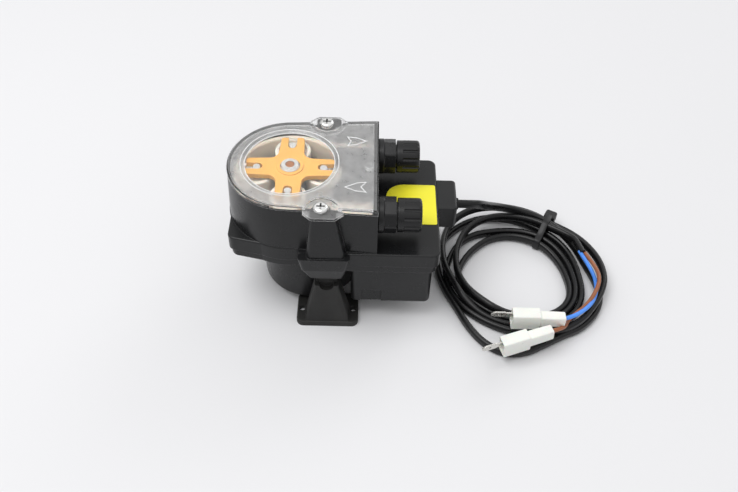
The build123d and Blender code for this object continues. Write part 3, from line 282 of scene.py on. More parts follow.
blackPlastic = {
    "colour": (0.010, 0.0103, 0.0110), "darker": 0.85, "lighter": 1.2, "driftScale": 45.0,
    "rough": (0.25, 0.35), "grainScale": 1900.0, "grainStrength": 0.35, "grainDepth": 0.00006,
    "edge": 0.0005, "wear": 0.5, "edgeColour": (0.08, 0.08, 0.084),
    "sockets": {"Specular IOR Level": 0.33},
}
finishes = {
    "case_black": mouldedFinish("caseBlack", blackPlastic),
    "foot_black": mouldedFinish("footBlack", {
        **blackPlastic, "colour": (0.019, 0.0187, 0.0178), "rough": (0.5, 0.64),
        "grainScale": 1500.0,
    }),
    "fitting_black": mouldedFinish("fittingBlack", {
        **blackPlastic, "colour": (0.008, 0.008, 0.0088), "rough": (0.24, 0.34), "edge": 0.0003,
    }),
    "seal_black": mouldedFinish("sealBlack", {
        **blackPlastic, "colour": (0.012, 0.012, 0.0125), "rough": (0.6, 0.75), "edge": 0.0,
    }),
    "lead_black": mouldedFinish("leadBlack", {
        **blackPlastic, "colour": (0.006, 0.006, 0.0066), "rough": (0.24, 0.34), "edge": 0.0,
        "driftScale": 70.0, "grainScale": 900.0, "grainDepth": 0.00004,
    }),
    "tie_black": mouldedFinish("tieBlack", {
        **blackPlastic, "colour": (0.010, 0.010, 0.011), "rough": (0.28, 0.40), "edge": 0.0002,
    }),
    "star_yellow": mouldedFinish("starYellow", {
        "colour": (0.75, 0.385, 0.075), "darker": 0.93, "lighter": 1.05, "driftScale": 60.0,
        "rough": (0.38, 0.5), "grainScale": 1600.0, "grainStrength": 0.25, "grainDepth": 0.00004,
        "edge": 0.0004, "wear": 0.35, "edgeColour": (0.98, 0.72, 0.36),
        "sockets": {"Subsurface Weight": 0.1, "Subsurface Scale": 0.002},
    }),
    "base_grey": mouldedFinish("baseGrey", {
        "colour": (0.30, 0.29, 0.28), "darker": 0.85, "lighter": 1.15, "driftScale": 60.0,
        "rough": (0.5, 0.62), "grainScale": 1600.0, "grainStrength": 0.3, "grainDepth": 0.00005,
    }),
    "roller_ivory": mouldedFinish("rollerIvory", {
        "colour": (0.82, 0.77, 0.68), "darker": 0.9, "lighter": 1.08, "driftScale": 80.0,
        "rough": (0.28, 0.4), "grainScale": 1800.0, "grainStrength": 0.2, "grainDepth": 0.00003,
        "sockets": {"Subsurface Weight": 0.15, "Subsurface Scale": 0.003},
    }),
    "hose_beige": mouldedFinish("hoseBeige", {
        "colour": (0.82, 0.72, 0.60), "darker": 0.92, "lighter": 1.1, "driftScale": 50.0,
        "rough": (0.4, 0.55), "grainScale": 1200.0, "grainStrength": 0.3, "grainDepth": 0.00005,
        "sockets": {"Subsurface Weight": 0.2, "Subsurface Scale": 0.003},
    }),
    "gear_white": mouldedFinish("gearWhite", {
        "colour": (0.80, 0.79, 0.75), "darker": 0.92, "lighter": 1.04, "driftScale": 60.0,
        "rough": (0.35, 0.48), "grainScale": 1800.0, "grainStrength": 0.2, "grainDepth": 0.00003,
    }),
    "board_green": mouldedFinish("boardGreen", {
        "colour": (0.02, 0.16, 0.06), "darker": 0.8, "lighter": 1.2, "driftScale": 160.0,
        "rough": (0.25, 0.35), "grainScale": 1400.0, "grainStrength": 0.2, "grainDepth": 0.00003,
    }),
    "board_parts_dark": mouldedFinish("boardPartsDark", {
        "colour": (0.03, 0.03, 0.035), "darker": 0.8, "lighter": 1.3, "driftScale": 120.0,
        "rough": (0.3, 0.45), "grainScale": 1400.0, "grainStrength": 0.2, "grainDepth": 0.00003,
    }),
    "label_yellow": mouldedFinish("labelYellow", {
        "colour": (0.93, 0.86, 0.035), "darker": 0.97, "lighter": 1.02, "driftScale": 60.0,
        "rough": (0.34, 0.44), "grainScale": 2600.0, "grainStrength": 0.15, "grainDepth": 0.00002,
    }),
    "wire_blue": mouldedFinish("wireBlue", {
        "colour": (0.07, 0.27, 0.85), "darker": 0.85, "lighter": 1.15, "driftScale": 90.0,
        "rough": (0.32, 0.42), "grainScale": 1500.0, "grainStrength": 0.2, "grainDepth": 0.00003,
    }),
    "wire_brown": mouldedFinish("wireBrown", {
        "colour": (0.32, 0.11, 0.045), "darker": 0.85, "lighter": 1.15, "driftScale": 90.0,
        "rough": (0.32, 0.42), "grainScale": 1500.0, "grainStrength": 0.2, "grainDepth": 0.00003,
    }),
    "connector_ivory": mouldedFinish("connectorIvory", {
        "colour": (0.90, 0.91, 0.86), "darker": 0.97, "lighter": 1.02, "driftScale": 120.0,
        "rough": (0.26, 0.38), "grainScale": 1500.0, "grainStrength": 0.06, "grainDepth": 0.00003,
        "sockets": {"Subsurface Weight": 0.12, "Subsurface Scale": 0.002},
    }),
    "zinc_steel": metalFinish("zincSteel", {
        "colour": (0.88, 0.88, 0.87), "tarnish": (0.72, 0.72, 0.71),
        "rough": (0.14, 0.28), "metallic": 1.0,
        "stretch": (1, 1, 6), "markScale": 600.0, "patchScale": 180.0,
        "markStrength": 0.3, "markDepth": 0.00004,
    }),
    "bush_bronze": metalFinish("bushBronze", {
        "colour": (0.55, 0.33, 0.15), "tarnish": (0.40, 0.23, 0.10),
        "rough": (0.3, 0.45), "metallic": 1.0,
        "stretch": (1, 1, 8), "markScale": 500.0, "patchScale": 160.0,
        "markStrength": 0.3, "markDepth": 0.00004,
    }),
    "magnet_dark": metalFinish("magnetDark", {
        "colour": (0.10, 0.10, 0.11), "tarnish": (0.07, 0.07, 0.075),
        "rough": (0.4, 0.55), "metallic": 0.8,
        "stretch": (1, 1, 4), "markScale": 400.0, "patchScale": 120.0,
        "markStrength": 0.3, "markDepth": 0.00005,
    }),
    "winding_copper": metalFinish("windingCopper", {
        "colour": (0.62, 0.27, 0.12), "tarnish": (0.45, 0.18, 0.08),
        "rough": (0.25, 0.4), "metallic": 0.9,
        "stretch": (0.1, 0.1, 10), "markScale": 300.0, "patchScale": 100.0,
        "markStrength": 0.8, "markDepth": 0.0002,
    }),
    "blade_tin": metalFinish("bladeTin", {
        "colour": (0.70, 0.69, 0.66), "tarnish": (0.55, 0.54, 0.51),
        "rough": (0.2, 0.36), "metallic": 1.0,
        "stretch": (4, 1, 1), "markScale": 500.0, "patchScale": 200.0,
        "markStrength": 0.35, "markDepth": 0.00005,
    }),
    "cover_clear": clearCoverFinish("coverClear", {
        "colour": (0.98, 0.985, 0.985), "polish": 0.02, "ior": 1.49, "shadowAlpha": 0.12,
        "windowRadius": 0.0216, "windowBlend": 0.0002, "facingRange": (0.9, 0.97),
        "frostColour": (0.90, 0.90, 0.90), "frostDark": 0.80, "frostRough": (0.24, 0.36),
        "frostThrough": 0.84, "mottleScale": 260.0, "mottleDetail": 4.0, "cloudMargin": 0.35,
        "edge": 0.0004, "edgeRange": (0.75, 0.99), "edgeColour": (0.95, 0.95, 0.95),
        "edgeDull": 0.65,
        "rippleScale": 90.0, "rippleStrength": 0.05, "rippleDepth": 0.0002,
    }),
}
nodeSlots = {part["node"]: part["material_slot"] for part in frame["record"]["subparts"]}
for nodeName, piece in cad.items():
    piece.data.materials.clear()
    piece.data.materials.append(finishes[nodeSlots[nodeName]])
cad["output_shaft"].data.materials[0] = metalFinish("wornShaft", {
    "colour": (0.42, 0.17, 0.06), "tarnish": (0.30, 0.12, 0.05),
    "rough": (0.35, 0.5), "metallic": 0.6,
    "stretch": (1, 1, 1), "markScale": 900.0, "patchScale": 500.0,
    "markStrength": 0.4, "markDepth": 0.00006,
})
print("finishes made:", len(finishes))


def makeFloor(look):
    half = look["floorSize"] / 2
    mesh = bpy.data.meshes.new("floor")
    corners = [(-half, -half, 0), (half, -half, 0), (half, half, 0), (-half, half, 0)]
    mesh.from_pydata(corners, [], [(0, 1, 2, 3)])
    floor = bpy.data.objects.new("floor", mesh)
    bpy.context.scene.collection.objects.link(floor)
    material, tree, shader, coords = startMaterial("paperSweep")
    share = spread(tree, noiseAt(tree, coords, look["floorDrift"]), 0.0, 1.0)
    darker = shade(look["floorColour"], 1.0 - look["floorDriftShare"])
    lighter = shade(look["floorColour"], 1.0 + look["floorDriftShare"])
    tree.links.new(blendColours(tree, share, darker, lighter), shader.inputs["Base Color"])
    shader.inputs["Roughness"].default_value = look["floorRough"]
    shader.inputs["Specular IOR Level"].default_value = look["floorSpecular"]
    mesh.materials.append(material)


def makeWorld(look):
    world = bpy.data.worlds.new("studioWorld")
    bpy.context.scene.world = world
    world.use_nodes = True
    tree = world.node_tree
    glow = tree.nodes["Background"]
    path = addNode(tree, "LightPath").outputs
    shiny = mathOf(tree, "MAXIMUM", path["Is Glossy Ray"], path["Is Transmission Ray"])
    direction = addNode(tree, "TexCoord").outputs["Generated"]
    height = addNode(tree, "SeparateXYZ", {0: direction}).outputs["Z"]
    heights = (look["wallHeight"], look["overheadHeight"])
    overhead = mapTo(tree, height, *heights, look["wallShare"], 1.0)
    level = mapTo(tree, shiny, 0.0, 1.0, look["worldGlow"], look["worldShine"])
    strength = mathOf(tree, "MULTIPLY", level, overhead)
    seen = {0: path["Is Camera Ray"], 2: strength, 3: look["worldSeen"]}
    tree.links.new(addNode(tree, "Mix", seen).outputs[0], glow.inputs["Strength"])
    glow.inputs["Color"].default_value = (1.0, 1.0, 1.0, 1.0)


makeFloor(studio)
makeWorld(studio)


def finishPiece(name, data, slotName, smoothAngle=35.0):
    piece = bpy.data.objects.new(name, data)
    bpy.context.scene.collection.objects.link(piece)
    data.materials.append(finishes[slotName])
    if isinstance(data, bpy.types.Mesh):
        data.polygons.foreach_set("use_smooth", [True] * len(data.polygons))
        data.set_sharp_from_angle(angle=math.radians(smoothAngle))
    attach(piece, "case")
    return piece


def skinLoops(name, loops, closed=False):
    # Quads between loops of points that all have the same count
    mesh = bmesh.new()
    rings = [[mesh.verts.new(point) for point in loop] for loop in loops]
    pairs = list(zip(rings, rings[1:]))
    if closed:
        pairs.append((rings[-1], rings[0]))
    for first, second in pairs:
        count = len(first)
        for index in range(count):
            after = (index + 1) % count
            mesh.faces.new((first[index], first[after], second[after], second[index]))
    if not closed:
        mesh.faces.new(list(reversed(rings[0])))
        mesh.faces.new(rings[-1])
    bmesh.ops.recalc_face_normals(mesh, faces=mesh.faces)
    data = bpy.data.meshes.new(name)
    mesh.to_mesh(data)
    mesh.free()
    return data


def joinMeshes(name, datas):
    mesh = bmesh.new()
    for data in datas:
        mesh.from_mesh(data)
    joined = bpy.data.meshes.new(name)
    mesh.to_mesh(joined)
    mesh.free()
    for data in datas:
        bpy.data.meshes.remove(data)
    return joined


def roundedRectangle(width, height, corner, steps):
    # Points (across, up) round a rectangle centred on zero
    points = []
    for centreX, centreY, start in ((1, 1, 0), (-1, 1, 90), (-1, -1, 180), (1, -1, 270)):
        for step in range(steps + 1):
            angle = math.radians(start + 90 * step / steps)
            across = centreX * (width / 2 - corner) + corner * math.cos(angle)
            upward = centreY * (height / 2 - corner) + corner * math.sin(angle)
            points.append((across, upward))
    return points


def placeIn(frameMatrix, data):
    data.transform(frameMatrix)
    return data


coil = {
    "centre": (92.8, -7.5),  # mm, middle of the turns
    "exit": (0.0570, 0.0085, 0.0430),
    "down": [
        (0.0625, 0.0084, 0.0430), (0.0690, 0.0102, 0.0413), (0.0760, 0.0196, 0.0310),
        (0.0840, 0.0302, 0.0200), (0.0945, 0.0358, 0.0127), (0.1050, 0.0346, 0.0101),
    ],
    # angle, distance from the middle and height of the lead's centre line, turn by turn
    "turns": [
        [
            (61.4, 43.1, 8.9), (47, 42.2, 7.0), (32.7, 41.6, 4.5), (18.1, 40.6, 2.8),
            (3.1, 42.1, 2.5), (-12.2, 45.0, 2.5), (-27.5, 45.4, 2.5), (-46, 43.9, 2.5),
            (-61.6, 41.5, 2.5), (-76.3, 43.3, 2.5), (-90, 47.7, 2.5), (-102.5, 49.8, 2.5),
            (-116.1, 47.5, 2.5), (-131.9, 42.6, 2.5), (-150.8, 38.8, 2.5), (-168, 39.8, 2.5),
            (-183, 41.9, 2.5), (-197.8, 44.3, 2.5), (-212.4, 46.5, 2.5), (-225, 47.8, 2.5),
            (-239.4, 48.3, 2.5), (-253.8, 47.8, 2.7), (-270, 45.3, 3.1), (-284.2, 41.7, 3.6),
        ],
        [
            (61.6, 39.3, 3.8), (47.4, 38.1, 3.6), (33.1, 36.7, 3.0), (18.5, 35.3, 2.5),
            (3.8, 34.3, 2.5), (-11.4, 35.1, 2.5), (-26.9, 35.9, 2.5), (-42.5, 35.9, 2.5),
            (-58.1, 34.6, 2.5), (-74, 32.8, 2.5), (-92.1, 31.7, 2.5), (-111.4, 31.6, 2.5),
            (-129.8, 32.2, 3.2), (-146, 33.2, 5.0), (-158.7, 34.3, 7.3), (-171.7, 35.4, 7.3),
            (-184.9, 38.3, 7.3), (-197.3, 41.3, 7.3), (-209.8, 44.9, 7.3), (-222.2, 48.6, 7.3),
            (-234.1, 51.0, 7.8), (-246.4, 51.8, 8.0), (-259.2, 51.2, 7.7), (-273.2, 49.9, 7.0),
            (-287.8, 48.5, 6.0),
        ],
        [
            (60.0, 46.7, 4.5), (43.1, 46.2, 6.3), (27.8, 46.4, 7.2), (12.6, 47.0, 7.3),
            (-2.5, 46.6, 7.3), (-15.6, 44.5, 7.3), (-29.5, 42.8, 7.3), (-44.1, 42.4, 7.3),
            (-57.8, 41.1, 6.2), (-71.8, 38.9, 4.4), (-90, 36.4, 3.0), (-111.3, 34.9, 2.5),
            (-132.4, 35.1, 2.5), (-151, 36.2, 2.5), (-167.3, 37.4, 2.5), (-183.4, 38.3, 2.5),
            (-198.3, 37.8, 2.5), (-212.9, 38.3, 2.5), (-227.4, 38.8, 2.5), (-241.7, 37.8, 2.5),
            (-255.9, 36.2, 2.6), (-270, 35.5, 3.0), (-284, 35.0, 3.6),
        ],
        [
            (61.9, 34.5, 3.9), (47.7, 33.4, 3.6), (33.5, 32.3, 2.9), (19, 31.5, 2.5),
            (4.2, 31.1, 2.5), (-11.1, 31.8, 2.5), (-26.6, 32.5, 2.5), (-42.2, 32.4, 2.5),
            (-57.9, 31.1, 2.5), (-73.9, 29.3, 2.5), (-92.2, 28.1, 2.5), (-111.6, 27.9, 2.5),
            (-132.9, 28.3, 2.5), (-151.7, 29.9, 2.5), (-167.9, 31.5, 2.5), (-184.1, 31.7, 2.5),
            (-201, 30.5, 2.5), (-216.6, 30.1, 2.5), (-231.8, 30.4, 2.5), (-245.8, 31.4, 2.5),
            (-259.8, 31.9, 2.6), (-271.9, 31.5, 3.0), (-284.8, 30.7, 3.6),
        ],
        [
            (62.2, 30.0, 3.9), (48.2, 28.8, 3.6), (34, 28.0, 2.9), (19.5, 27.5, 2.5),
            (4.7, 27.4, 2.5), (-10.6, 28.5, 2.5), (-26.2, 29.5, 2.5), (-41.9, 29.4, 2.5),
            (-57.7, 28.1, 2.5), (-73.7, 26.2, 2.6), (-92.1, 25.4, 3.2), (-110.1, 26.0, 4.8),
            (-123.5, 27.5, 7.3), (-138.6, 27.5, 7.3), (-154.2, 29.0, 7.3), (-168.1, 30.6, 7.3),
            (-182.3, 32.2, 7.3), (-196.7, 33.9, 7.3), (-210.2, 36.1, 7.3), (-223.9, 38.9, 7.3),
            (-237.5, 41.6, 7.3), (-251.2, 43.2, 7.4), (-265.8, 43.1, 7.9), (-283.6, 41.6, 8.6),
        ],
        [
            (58.5, 40.0, 8.9), (45.5, 40.7, 9.0), (35.5, 41.3, 9.8),
        ],
    ],
    "end": [
        (0.1270, 0.0112, 0.0115), (0.1287, 0.0040, 0.0121),
    ],
    "wide": 4.8,
    "thick": 3.1,
    "length": 1.276,
}
wires = {
    "blueWire": {
        "node": "blue_wire", "slot": "wire_blue",
        "route": [
            (0.12715, 0.00565, 0.0121), (0.1278, 0.0034, 0.0121), (0.1304, -0.0036, 0.0117),
            (0.1325, -0.0108, 0.0110), (0.1326, -0.0175, 0.0108), (0.1308, -0.0245, 0.0112),
            (0.1270, -0.0312, 0.0122), (0.1215, -0.0367, 0.0132), (0.1160, -0.0405, 0.0140),
            (0.1105, -0.0426, 0.0142), (0.1070, -0.0426, 0.0142),
        ],
        "length": 0.063,
    },
    "brownWire": {
        "node": "brown_wire", "slot": "wire_brown",
        "route": [
            (0.12918, 0.0062, 0.0121), (0.1298, 0.0040, 0.0122), (0.1332, -0.0045, 0.0127),
            (0.1345, -0.0125, 0.0134), (0.1327, -0.0194, 0.0138), (0.1290, -0.0262, 0.0132),
            (0.1247, -0.0314, 0.0116), (0.1188, -0.0357, 0.0099), (0.1142, -0.0400, 0.0096),
            (0.1126, -0.0436, 0.0098), (0.1090, -0.0472, 0.0124), (0.1040, -0.0496, 0.0134),
            (0.1005, -0.0509, 0.0134),
        ],
        "length": 0.074,
    },
}
wireThick = 2.1


curveSteps = {"round": 5, "along": 6, "order": 3}


def makeCurve(name, points, slotName, roundness, extrude=0.0):
    data = bpy.data.curves.new(name, "CURVE")
    data.dimensions = "3D"
    data.twist_mode = "Z_UP"
    data.bevel_depth = roundness
    data.bevel_resolution = curveSteps["round"]
    data.extrude = extrude
    data.resolution_u = curveSteps["along"]
    data.use_fill_caps = True
    spline = data.splines.new("NURBS")
    spline.points.add(len(points) - 1)
    for curvePoint, point in zip(spline.points, points):
        curvePoint.co = (*point, 1.0)
    spline.order_u = curveSteps["order"]
    spline.use_endpoint_u = True
    return finishPiece(name, data, slotName)


def coilPoints(look):
    points = []
    for turn in look["turns"]:
        for angle, reach, height in turn:
            theta = math.radians(angle)
            across = look["centre"][0] + reach * math.cos(theta)
            along = look["centre"][1] + reach * math.sin(theta)
            points.append((across * mm, along * mm, height * mm))
    return points


leadPoints = [coil["exit"], *coil["down"], *coilPoints(coil), *coil["end"]]
sideways = (coil["wide"] - coil["thick"]) / 2 * mm
lead = makeCurve("leadCord", leadPoints, "lead_black", coil["thick"] / 2 * mm, sideways)
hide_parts("lead_tube", "lead_coil")
for wireName, wire in wires.items():
    makeCurve(wireName, wire["route"], wire["slot"], wireThick / 2 * mm)
    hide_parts(wire["node"])
print("cords drawn")


connector = {
    # wire end in mm, turn and dip in degrees
    "pairs": [
        {
            "place": (111.6, -42.6, 14.2), "turn": 180.0, "dip": 0.0, "wire": "blueWire",
            "housing": "blueConnector", "housingNode": "blue_connector",
            "blade": "blueBlade", "bladeNode": "blue_blade",
        },
        {
            "place": (104.4, -49.8, 13.4), "turn": 197.5, "dip": 6.0, "wire": "brownWire",
            "housing": "brownConnector", "housingNode": "brown_connector",
            "blade": "brownBlade", "bladeNode": "brown_blade",
        },
    ],
    # distance from the wire end, width, height and corner of the housing's sections, mm
    "sections": [
        (2.5, 2.6, 2.6, 1.2), (0.0, 2.7, 2.7, 1.2), (0.0, 5.9, 4.6, 0.8), (0.3, 6.5, 5.0, 0.8),
        (6.0, 6.7, 5.3, 0.8), (12.2, 6.9, 5.4, 0.8), (12.5, 7.2, 5.6, 0.8), (12.8, 9.7, 6.3, 0.8),
        (13.1, 10.0, 6.5, 0.8), (26.1, 10.2, 6.6, 0.8), (26.6, 10.0, 6.4, 0.8),
        (26.6, 8.6, 4.8, 0.6), (22.0, 8.4, 4.6, 0.6),
    ],
    "cornerSteps": 3,
    "sharpAngle": 24.0,
    "roll": 90.0,  # both housings lie on a narrow side
}
blade = {
    "start": 20.0, "end": 37.3, "width": 3.6, "thick": 0.8, "lift": 3.0,
    # the neck stays inside the housing's mouth and widens over the shoulder
    "neckShare": 0.72, "shoulder": (29.6, 30.4),
    # distances back from the tip and in from the side at the chamfers
    "chamfer": [(2.4, 0.0), (0.9, 0.5), (0.0, 1.2)],
    "holePlace": 33.3, "holeRadius": 0.6, "holeSteps": 16,
    "soften": 0.12, "softenSteps": 2,
}


def housingMesh(name, look):
    loops = []
    for distance, width, height, corner in look["sections"]:
        outline = roundedRectangle(width, height, corner, look["cornerSteps"])
        loops.append([(distance * mm, a * mm, b * mm) for a, b in outline])
    return skinLoops(name, loops)


def bladeMesh(name, look):
    # Flat tab with a chamfered tip and a lance hole
    half = look["width"] / 2
    neck = half * look["neckShare"]
    neckEnd, shoulderEnd = look["shoulder"]
    lower = [(look["start"], -neck), (neckEnd, -neck), (shoulderEnd, -half)]
    lower += [(look["end"] - back, inset - half) for back, inset in look["chamfer"]]
    outline = lower + [(along, -across) for along, across in reversed(lower)]
    top = look["thick"] / 2 * mm
    mesh = bmesh.new()
    outer = [mesh.verts.new((a * mm, b * mm, top)) for a, b in outline]
    hole = []
    for step in range(look["holeSteps"]):
        angle = math.radians(360 * step / look["holeSteps"])
        along = look["holePlace"] + look["holeRadius"] * math.cos(angle)
        across = look["holeRadius"] * math.sin(angle)
        hole.append(mesh.verts.new((along * mm, across * mm, top)))
    edges = []
    for loop in (outer, hole):
        for first, second in zip(loop, loop[1:] + loop[:1]):
            edges.append(mesh.edges.new((first, second)))
    bmesh.ops.triangle_fill(mesh, edges=edges, use_beauty=True)
    inside = [face for face in mesh.faces if all(vert in hole for vert in face.verts)]
    bmesh.ops.delete(mesh, geom=inside, context="FACES_ONLY")
    made = bmesh.ops.extrude_face_region(mesh, geom=mesh.faces[:])
    lowered = [item for item in made["geom"] if isinstance(item, bmesh.types.BMVert)]
    bmesh.ops.translate(mesh, verts=lowered, vec=(0, 0, -look["thick"] * mm))
    bmesh.ops.recalc_face_normals(mesh, faces=mesh.faces)
    data = bpy.data.meshes.new(name)
    mesh.to_mesh(data)
    mesh.free()
    return data


def turned(degrees, axis):
    return Matrix.Rotation(math.radians(degrees), 4, axis)


for pair in connector["pairs"]:
    stand = Matrix.Translation(Vector(pair["place"]) * mm) @ turned(pair["turn"], "Z")
    stand = stand @ turned(pair["dip"], "Y") @ turned(connector["roll"], "X")
    housingData = placeIn(stand, housingMesh(pair["housing"], connector))
    sharpAngle = connector["sharpAngle"]
    housing = finishPiece(pair["housing"], housingData, "connector_ivory", sharpAngle)
    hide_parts(pair["housingNode"])
    raised = Matrix.Translation((0, 0, blade["lift"] * mm)) @ stand
    bladeData = placeIn(raised, bladeMesh(pair["blade"], blade))
    bladePiece = finishPiece(pair["blade"], bladeData, "blade_tin")
    soften = bladePiece.modifiers.new("soften", "BEVEL")
    soften.width = blade["soften"] * mm
    soften.segments = blade["softenSteps"]
    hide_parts(pair["bladeNode"])
    wire = wires[pair["wire"]]
print("connectors made")


tie = {
    "turn": 61.5, "width": 3.6, "band": 1.1,
    # distance from the middle of the turns and height, round the bundle
    "loop": [
        (28.6, 0.9), (29.6, 0.6), (38.0, 0.6), (45.6, 0.6), (48.0, 0.9), (49.2, 1.8),
        (49.6, 4.0), (49.4, 6.8), (47.8, 9.8), (45.8, 11.2), (42.0, 11.5), (39.4, 11.4),
        (37.6, 10.3), (35.0, 8.6), (31.6, 7.2), (29.0, 6.9), (28.0, 6.0), (27.8, 3.8),
        (28.0, 1.8),
    ],
    "bandCorner": 0.35, "bandSteps": 2,
    "toothRise": 0.12, "toothReach": 1.2,
    # nearest and farthest distance, bottom and top
    "head": (45.2, 51.2, 6.0, 10.8), "headWidth": 6.4, "headCorner": 0.9, "headSteps": 3,
    "headEdge": 0.5,
    # start and end of the cut strap and its height
    "tail": (47.8, 52.8, 8.4), "tailNarrower": 0.4, "tailCorner": 0.3,
}


def bandPoints(look):
    # points and headings round the bundle, with one more point between each two
    points = [Vector((reach, 0, height)) for reach, height in look["loop"]]
    count = len(points)
    band = []
    for index, here in enumerate(points):
        before, after = points[index - 1], points[(index + 1) % count]
        beyond = points[(index + 2) % count]
        band.append((here, after - before))
        band.append(((here * 9 + after * 9 - before - beyond) / 16, after - here))
    return band, sum(points, Vector()) / count


def tieMesh(name, look):
    band, middle = bandPoints(look)
    corner, steps = look["bandCorner"], look["bandSteps"]
    section = roundedRectangle(look["width"], look["band"], corner, steps)
    loops = []
    for index, (point, along) in enumerate(band):
        outward = Vector((along.z, 0, -along.x)).normalized()
        if outward.dot(point - middle) < 0:
            outward.negate()
        toothed = index // 2 % 2 == 1
        ring = []
        for across, lift in section:
            if toothed and abs(across) < look["toothReach"]:
                lift += look["toothRise"]
            at = point + outward * lift
            ring.append((at.x * mm, across * mm, at.z * mm))
        loops.append(ring)
    parts = [skinLoops(name, loops, closed=True)]
    low, high, bottom, top = look["head"]
    edge = look["headEdge"]
    ring = []
    for height, inset in ((bottom, edge), (bottom + edge, 0.0), (top - edge, 0.0), (top, edge)):
        sides = (high - low - inset, look["headWidth"] - inset)
        outline = roundedRectangle(*sides, look["headCorner"], look["headSteps"])
        ring.append([(((low + high) / 2 + a) * mm, b * mm, height * mm) for a, b in outline])
    parts.append(skinLoops(name, ring))
    # cut end of the strap in the head's mouth
    tailStart, tailEnd, tailHeight = look["tail"]
    tailWidth = look["width"] - look["tailNarrower"]
    outline = roundedRectangle(tailWidth, look["band"], look["tailCorner"], steps)
    ring = []
    for distance in (tailStart, tailEnd):
        ring.append([(distance * mm, a * mm, (tailHeight + b) * mm) for a, b in outline])
    parts.append(skinLoops(name, ring))
    return joinMeshes(name, parts)


tieStand = Matrix.Translation(Vector((*coil["centre"], 0)) * mm) @ turned(tie["turn"], "Z")
tiePiece = finishPiece("cableTie", placeIn(tieStand, tieMesh("cableTie", tie)), "tie_black")
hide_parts("cable_tie")
print("cable tie made")


hose = {
    "wrapRadius": 26.65, "leaveAngle": 60.66, "bendRadius": 18.95, "bendX": 22.35,
    "legY": 20.8, "height": 63.5, "flat": 2.7, "flatTall": 12.3, "round": 8.5,
    # stations of the straight leg, from the fitting inwards
    "leg": (39.9, 33.9, 27.9, 23.85),
    # share of the bend -> thickness and height while the hose opens up
    "opening": [
        (0.0, 2.7, 12.3), (0.2, 2.9, 12.2), (0.4, 3.5, 11.7), (0.6, 4.7, 11.0), (0.8, 6.4, 9.9),
        (1.0, 8.0, 8.7),
    ],
    "waviness": 0.05, "waveStep": 1.7, "wrapSteps": 44,
    "cornerShare": 0.49, "cornerSteps": 5,
}


def hoseStations(look):
    # x, y, heading, thickness and height from one fitting round to the other
    half = []
    for along in look["leg"]:
        half.append((along, look["legY"], 180.0, look["round"], look["round"]))
    turn = 90 - look["leaveAngle"]
    for share, thick, tall in reversed(look["opening"]):
        angle = math.radians(turn * (1 - share))
        across = look["bendX"] - look["bendRadius"] * math.sin(angle)
        upward = look["legY"] + look["bendRadius"] * (1 - math.cos(angle))
        half.append((across, upward, 180.0 - math.degrees(angle), thick, tall))
    stations = list(half)
    sweep = 360 - 2 * look["leaveAngle"]
    for step in range(1, look["wrapSteps"]):
        angle = look["leaveAngle"] + sweep * step / look["wrapSteps"]
        across = look["wrapRadius"] * math.cos(math.radians(angle))
        upward = look["wrapRadius"] * math.sin(math.radians(angle))
        wave = 1 + look["waviness"] * math.sin(step * look["waveStep"])
        stations.append((across, upward, angle + 90, look["flat"] * wave, look["flatTall"]))
    for across, upward, heading, thick, tall in reversed(half):
        stations.append((across, -upward, 540.0 - heading, thick, tall))
    return stations


def hoseMesh(name, look):
    loops = []
    for across, upward, heading, thick, tall in hoseStations(look):
        theta = math.radians(heading)
        side = Vector((math.sin(theta), -math.cos(theta), 0))
        middle = Vector((across + rotorX, upward, look["height"]))
        corner = thick * look["cornerShare"]
        section = roundedRectangle(thick, tall, corner, look["cornerSteps"])
        loops.append([(middle + side * a + Vector((0, 0, b))) * mm for a, b in section])
    return skinLoops(name, loops)


hosePiece = finishPiece("pumpHose", hoseMesh("pumpHose", hose), "hose_beige")
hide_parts("pump_hose")

grommet = {
    "y": 8.5, "z": 43.0, "steps": 28,
    # place along the lead and radius, outside then back through the bore
    "profile": [
        (47.6, 3.4), (56.6, 3.4), (56.9, 3.3), (57.0, 3.05), (58.1, 3.05), (58.4, 2.9),
        (58.5, 2.65), (58.3, 2.46), (52.0, 2.44), (47.6, 2.46),
    ],
}


def grommetMesh(name, look):
    loops = []
    for along, radius in look["profile"]:
        loop = []
        for step in range(look["steps"]):
            angle = math.radians(360 * step / look["steps"])
            across = look["y"] + radius * math.cos(angle)
            upward = look["z"] + radius * math.sin(angle)
            loop.append((along * mm, across * mm, upward * mm))
        loops.append(loop)
    return skinLoops(name, loops, closed=True)


grommetPiece = finishPiece("leadGrommet", grommetMesh("leadGrommet", grommet), "seal_black")
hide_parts("lead_grommet")

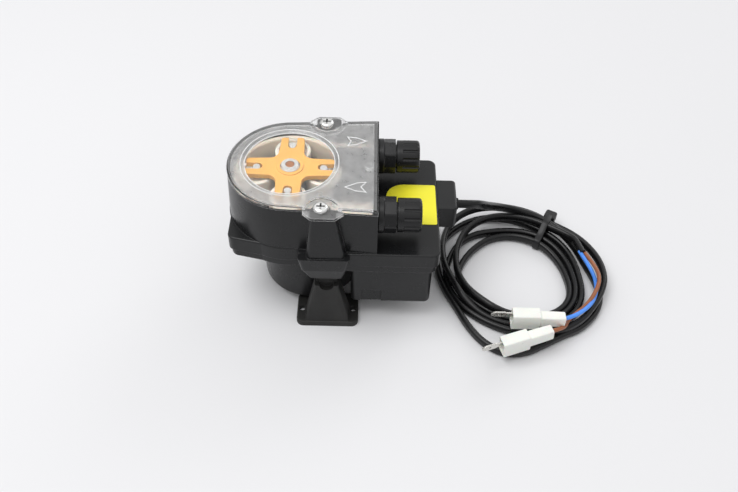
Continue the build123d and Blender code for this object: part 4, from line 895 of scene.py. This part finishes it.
arrows = {
    "top": 77.02, "rise": 0.2, "line": 0.26, "sharpest": 0.4,
    # across the moulded line: share of its width and of its rise
    "section": [(-1.0, -0.05), (-0.5, 1.0), (0.5, 1.0), (1.0, -0.05)],
    # flow direction marks, mm
    "shapes": {
        "inflowArrow": [
            (1.2, -16.9), (7.0, -13.9), (11.0, -13.3), (8.6, -16.6), (11.1, -20.1), (6.0, -19.2),
        ],
        "outflowArrow": [
            (10.6, 16.1), (6.0, 18.3), (1.4, 18.9), (3.2, 15.7), (1.6, 12.2), (6.2, 13.6),
        ],
    },
    # radius and height of the painted highlight lines: white lines at the foot and the top of the
    # window's bevel, where its edges catch the light
    "rimHighlightLines": {"innerRimHighlight": (21.6, 76.33), "outerRimHighlight": (23.5, 77.02)},
    "rimSteps": 120,
}


def lineMesh(name, outline, top, look):
    # Raised line that follows a closed outline: the moulded arrows, and the painted highlight lines
    # on the window's bevel
    count = len(outline)
    points = [Vector((a, b, 0)) for a, b in outline]
    upward = Vector((0, 0, 1))
    loops = []
    for index, point in enumerate(points):
        before = (point - points[index - 1]).normalized().cross(upward)
        after = (points[(index + 1) % count] - point).normalized().cross(upward)
        inward = (before + after).normalized()
        reach = look["line"] / max(look["sharpest"], inward.dot(before))
        ring = []
        for shift, lift in look["section"]:
            at = point + inward * reach * shift
            ring.append((at.x * mm, at.y * mm, (top + lift * look["rise"]) * mm))
        loops.append(ring)
    return skinLoops(name, loops, closed=True)


def rimOutline(radius, steps):
    points = []
    for step in range(steps):
        theta = 2 * math.pi * step / steps
        points.append((rotorX + radius * math.cos(theta), radius * math.sin(theta)))
    return points


# white of the moulded arrows and of the painted highlight lines on the window's bevel
coverLine = mouldedFinish("coverLine", {
    "colour": (0.93, 0.94, 0.94), "darker": 0.94, "lighter": 1.02, "driftScale": 220.0,
    "rough": (0.12, 0.24), "grainScale": 1500.0, "grainStrength": 0.1, "grainDepth": 0.00003,
    "sockets": {"Transmission Weight": 0.1, "IOR": 1.49},
})
coverLines = {}
for arrowName, outline in arrows["shapes"].items():
    coverLines[arrowName] = lineMesh(arrowName, outline, arrows["top"], arrows)
# painted highlight: white lines on the edges of the window's bevel
for highlightName, (radius, highlightTop) in arrows["rimHighlightLines"].items():
    outline = rimOutline(radius, arrows["rimSteps"])
    coverLines[highlightName] = lineMesh(highlightName, outline, highlightTop, arrows)
for lineName, lineData in coverLines.items():
    linePiece = finishPiece(lineName, lineData, "cover_clear")
    linePiece.data.materials[0] = coverLine
print("hose, grommet and arrows made")
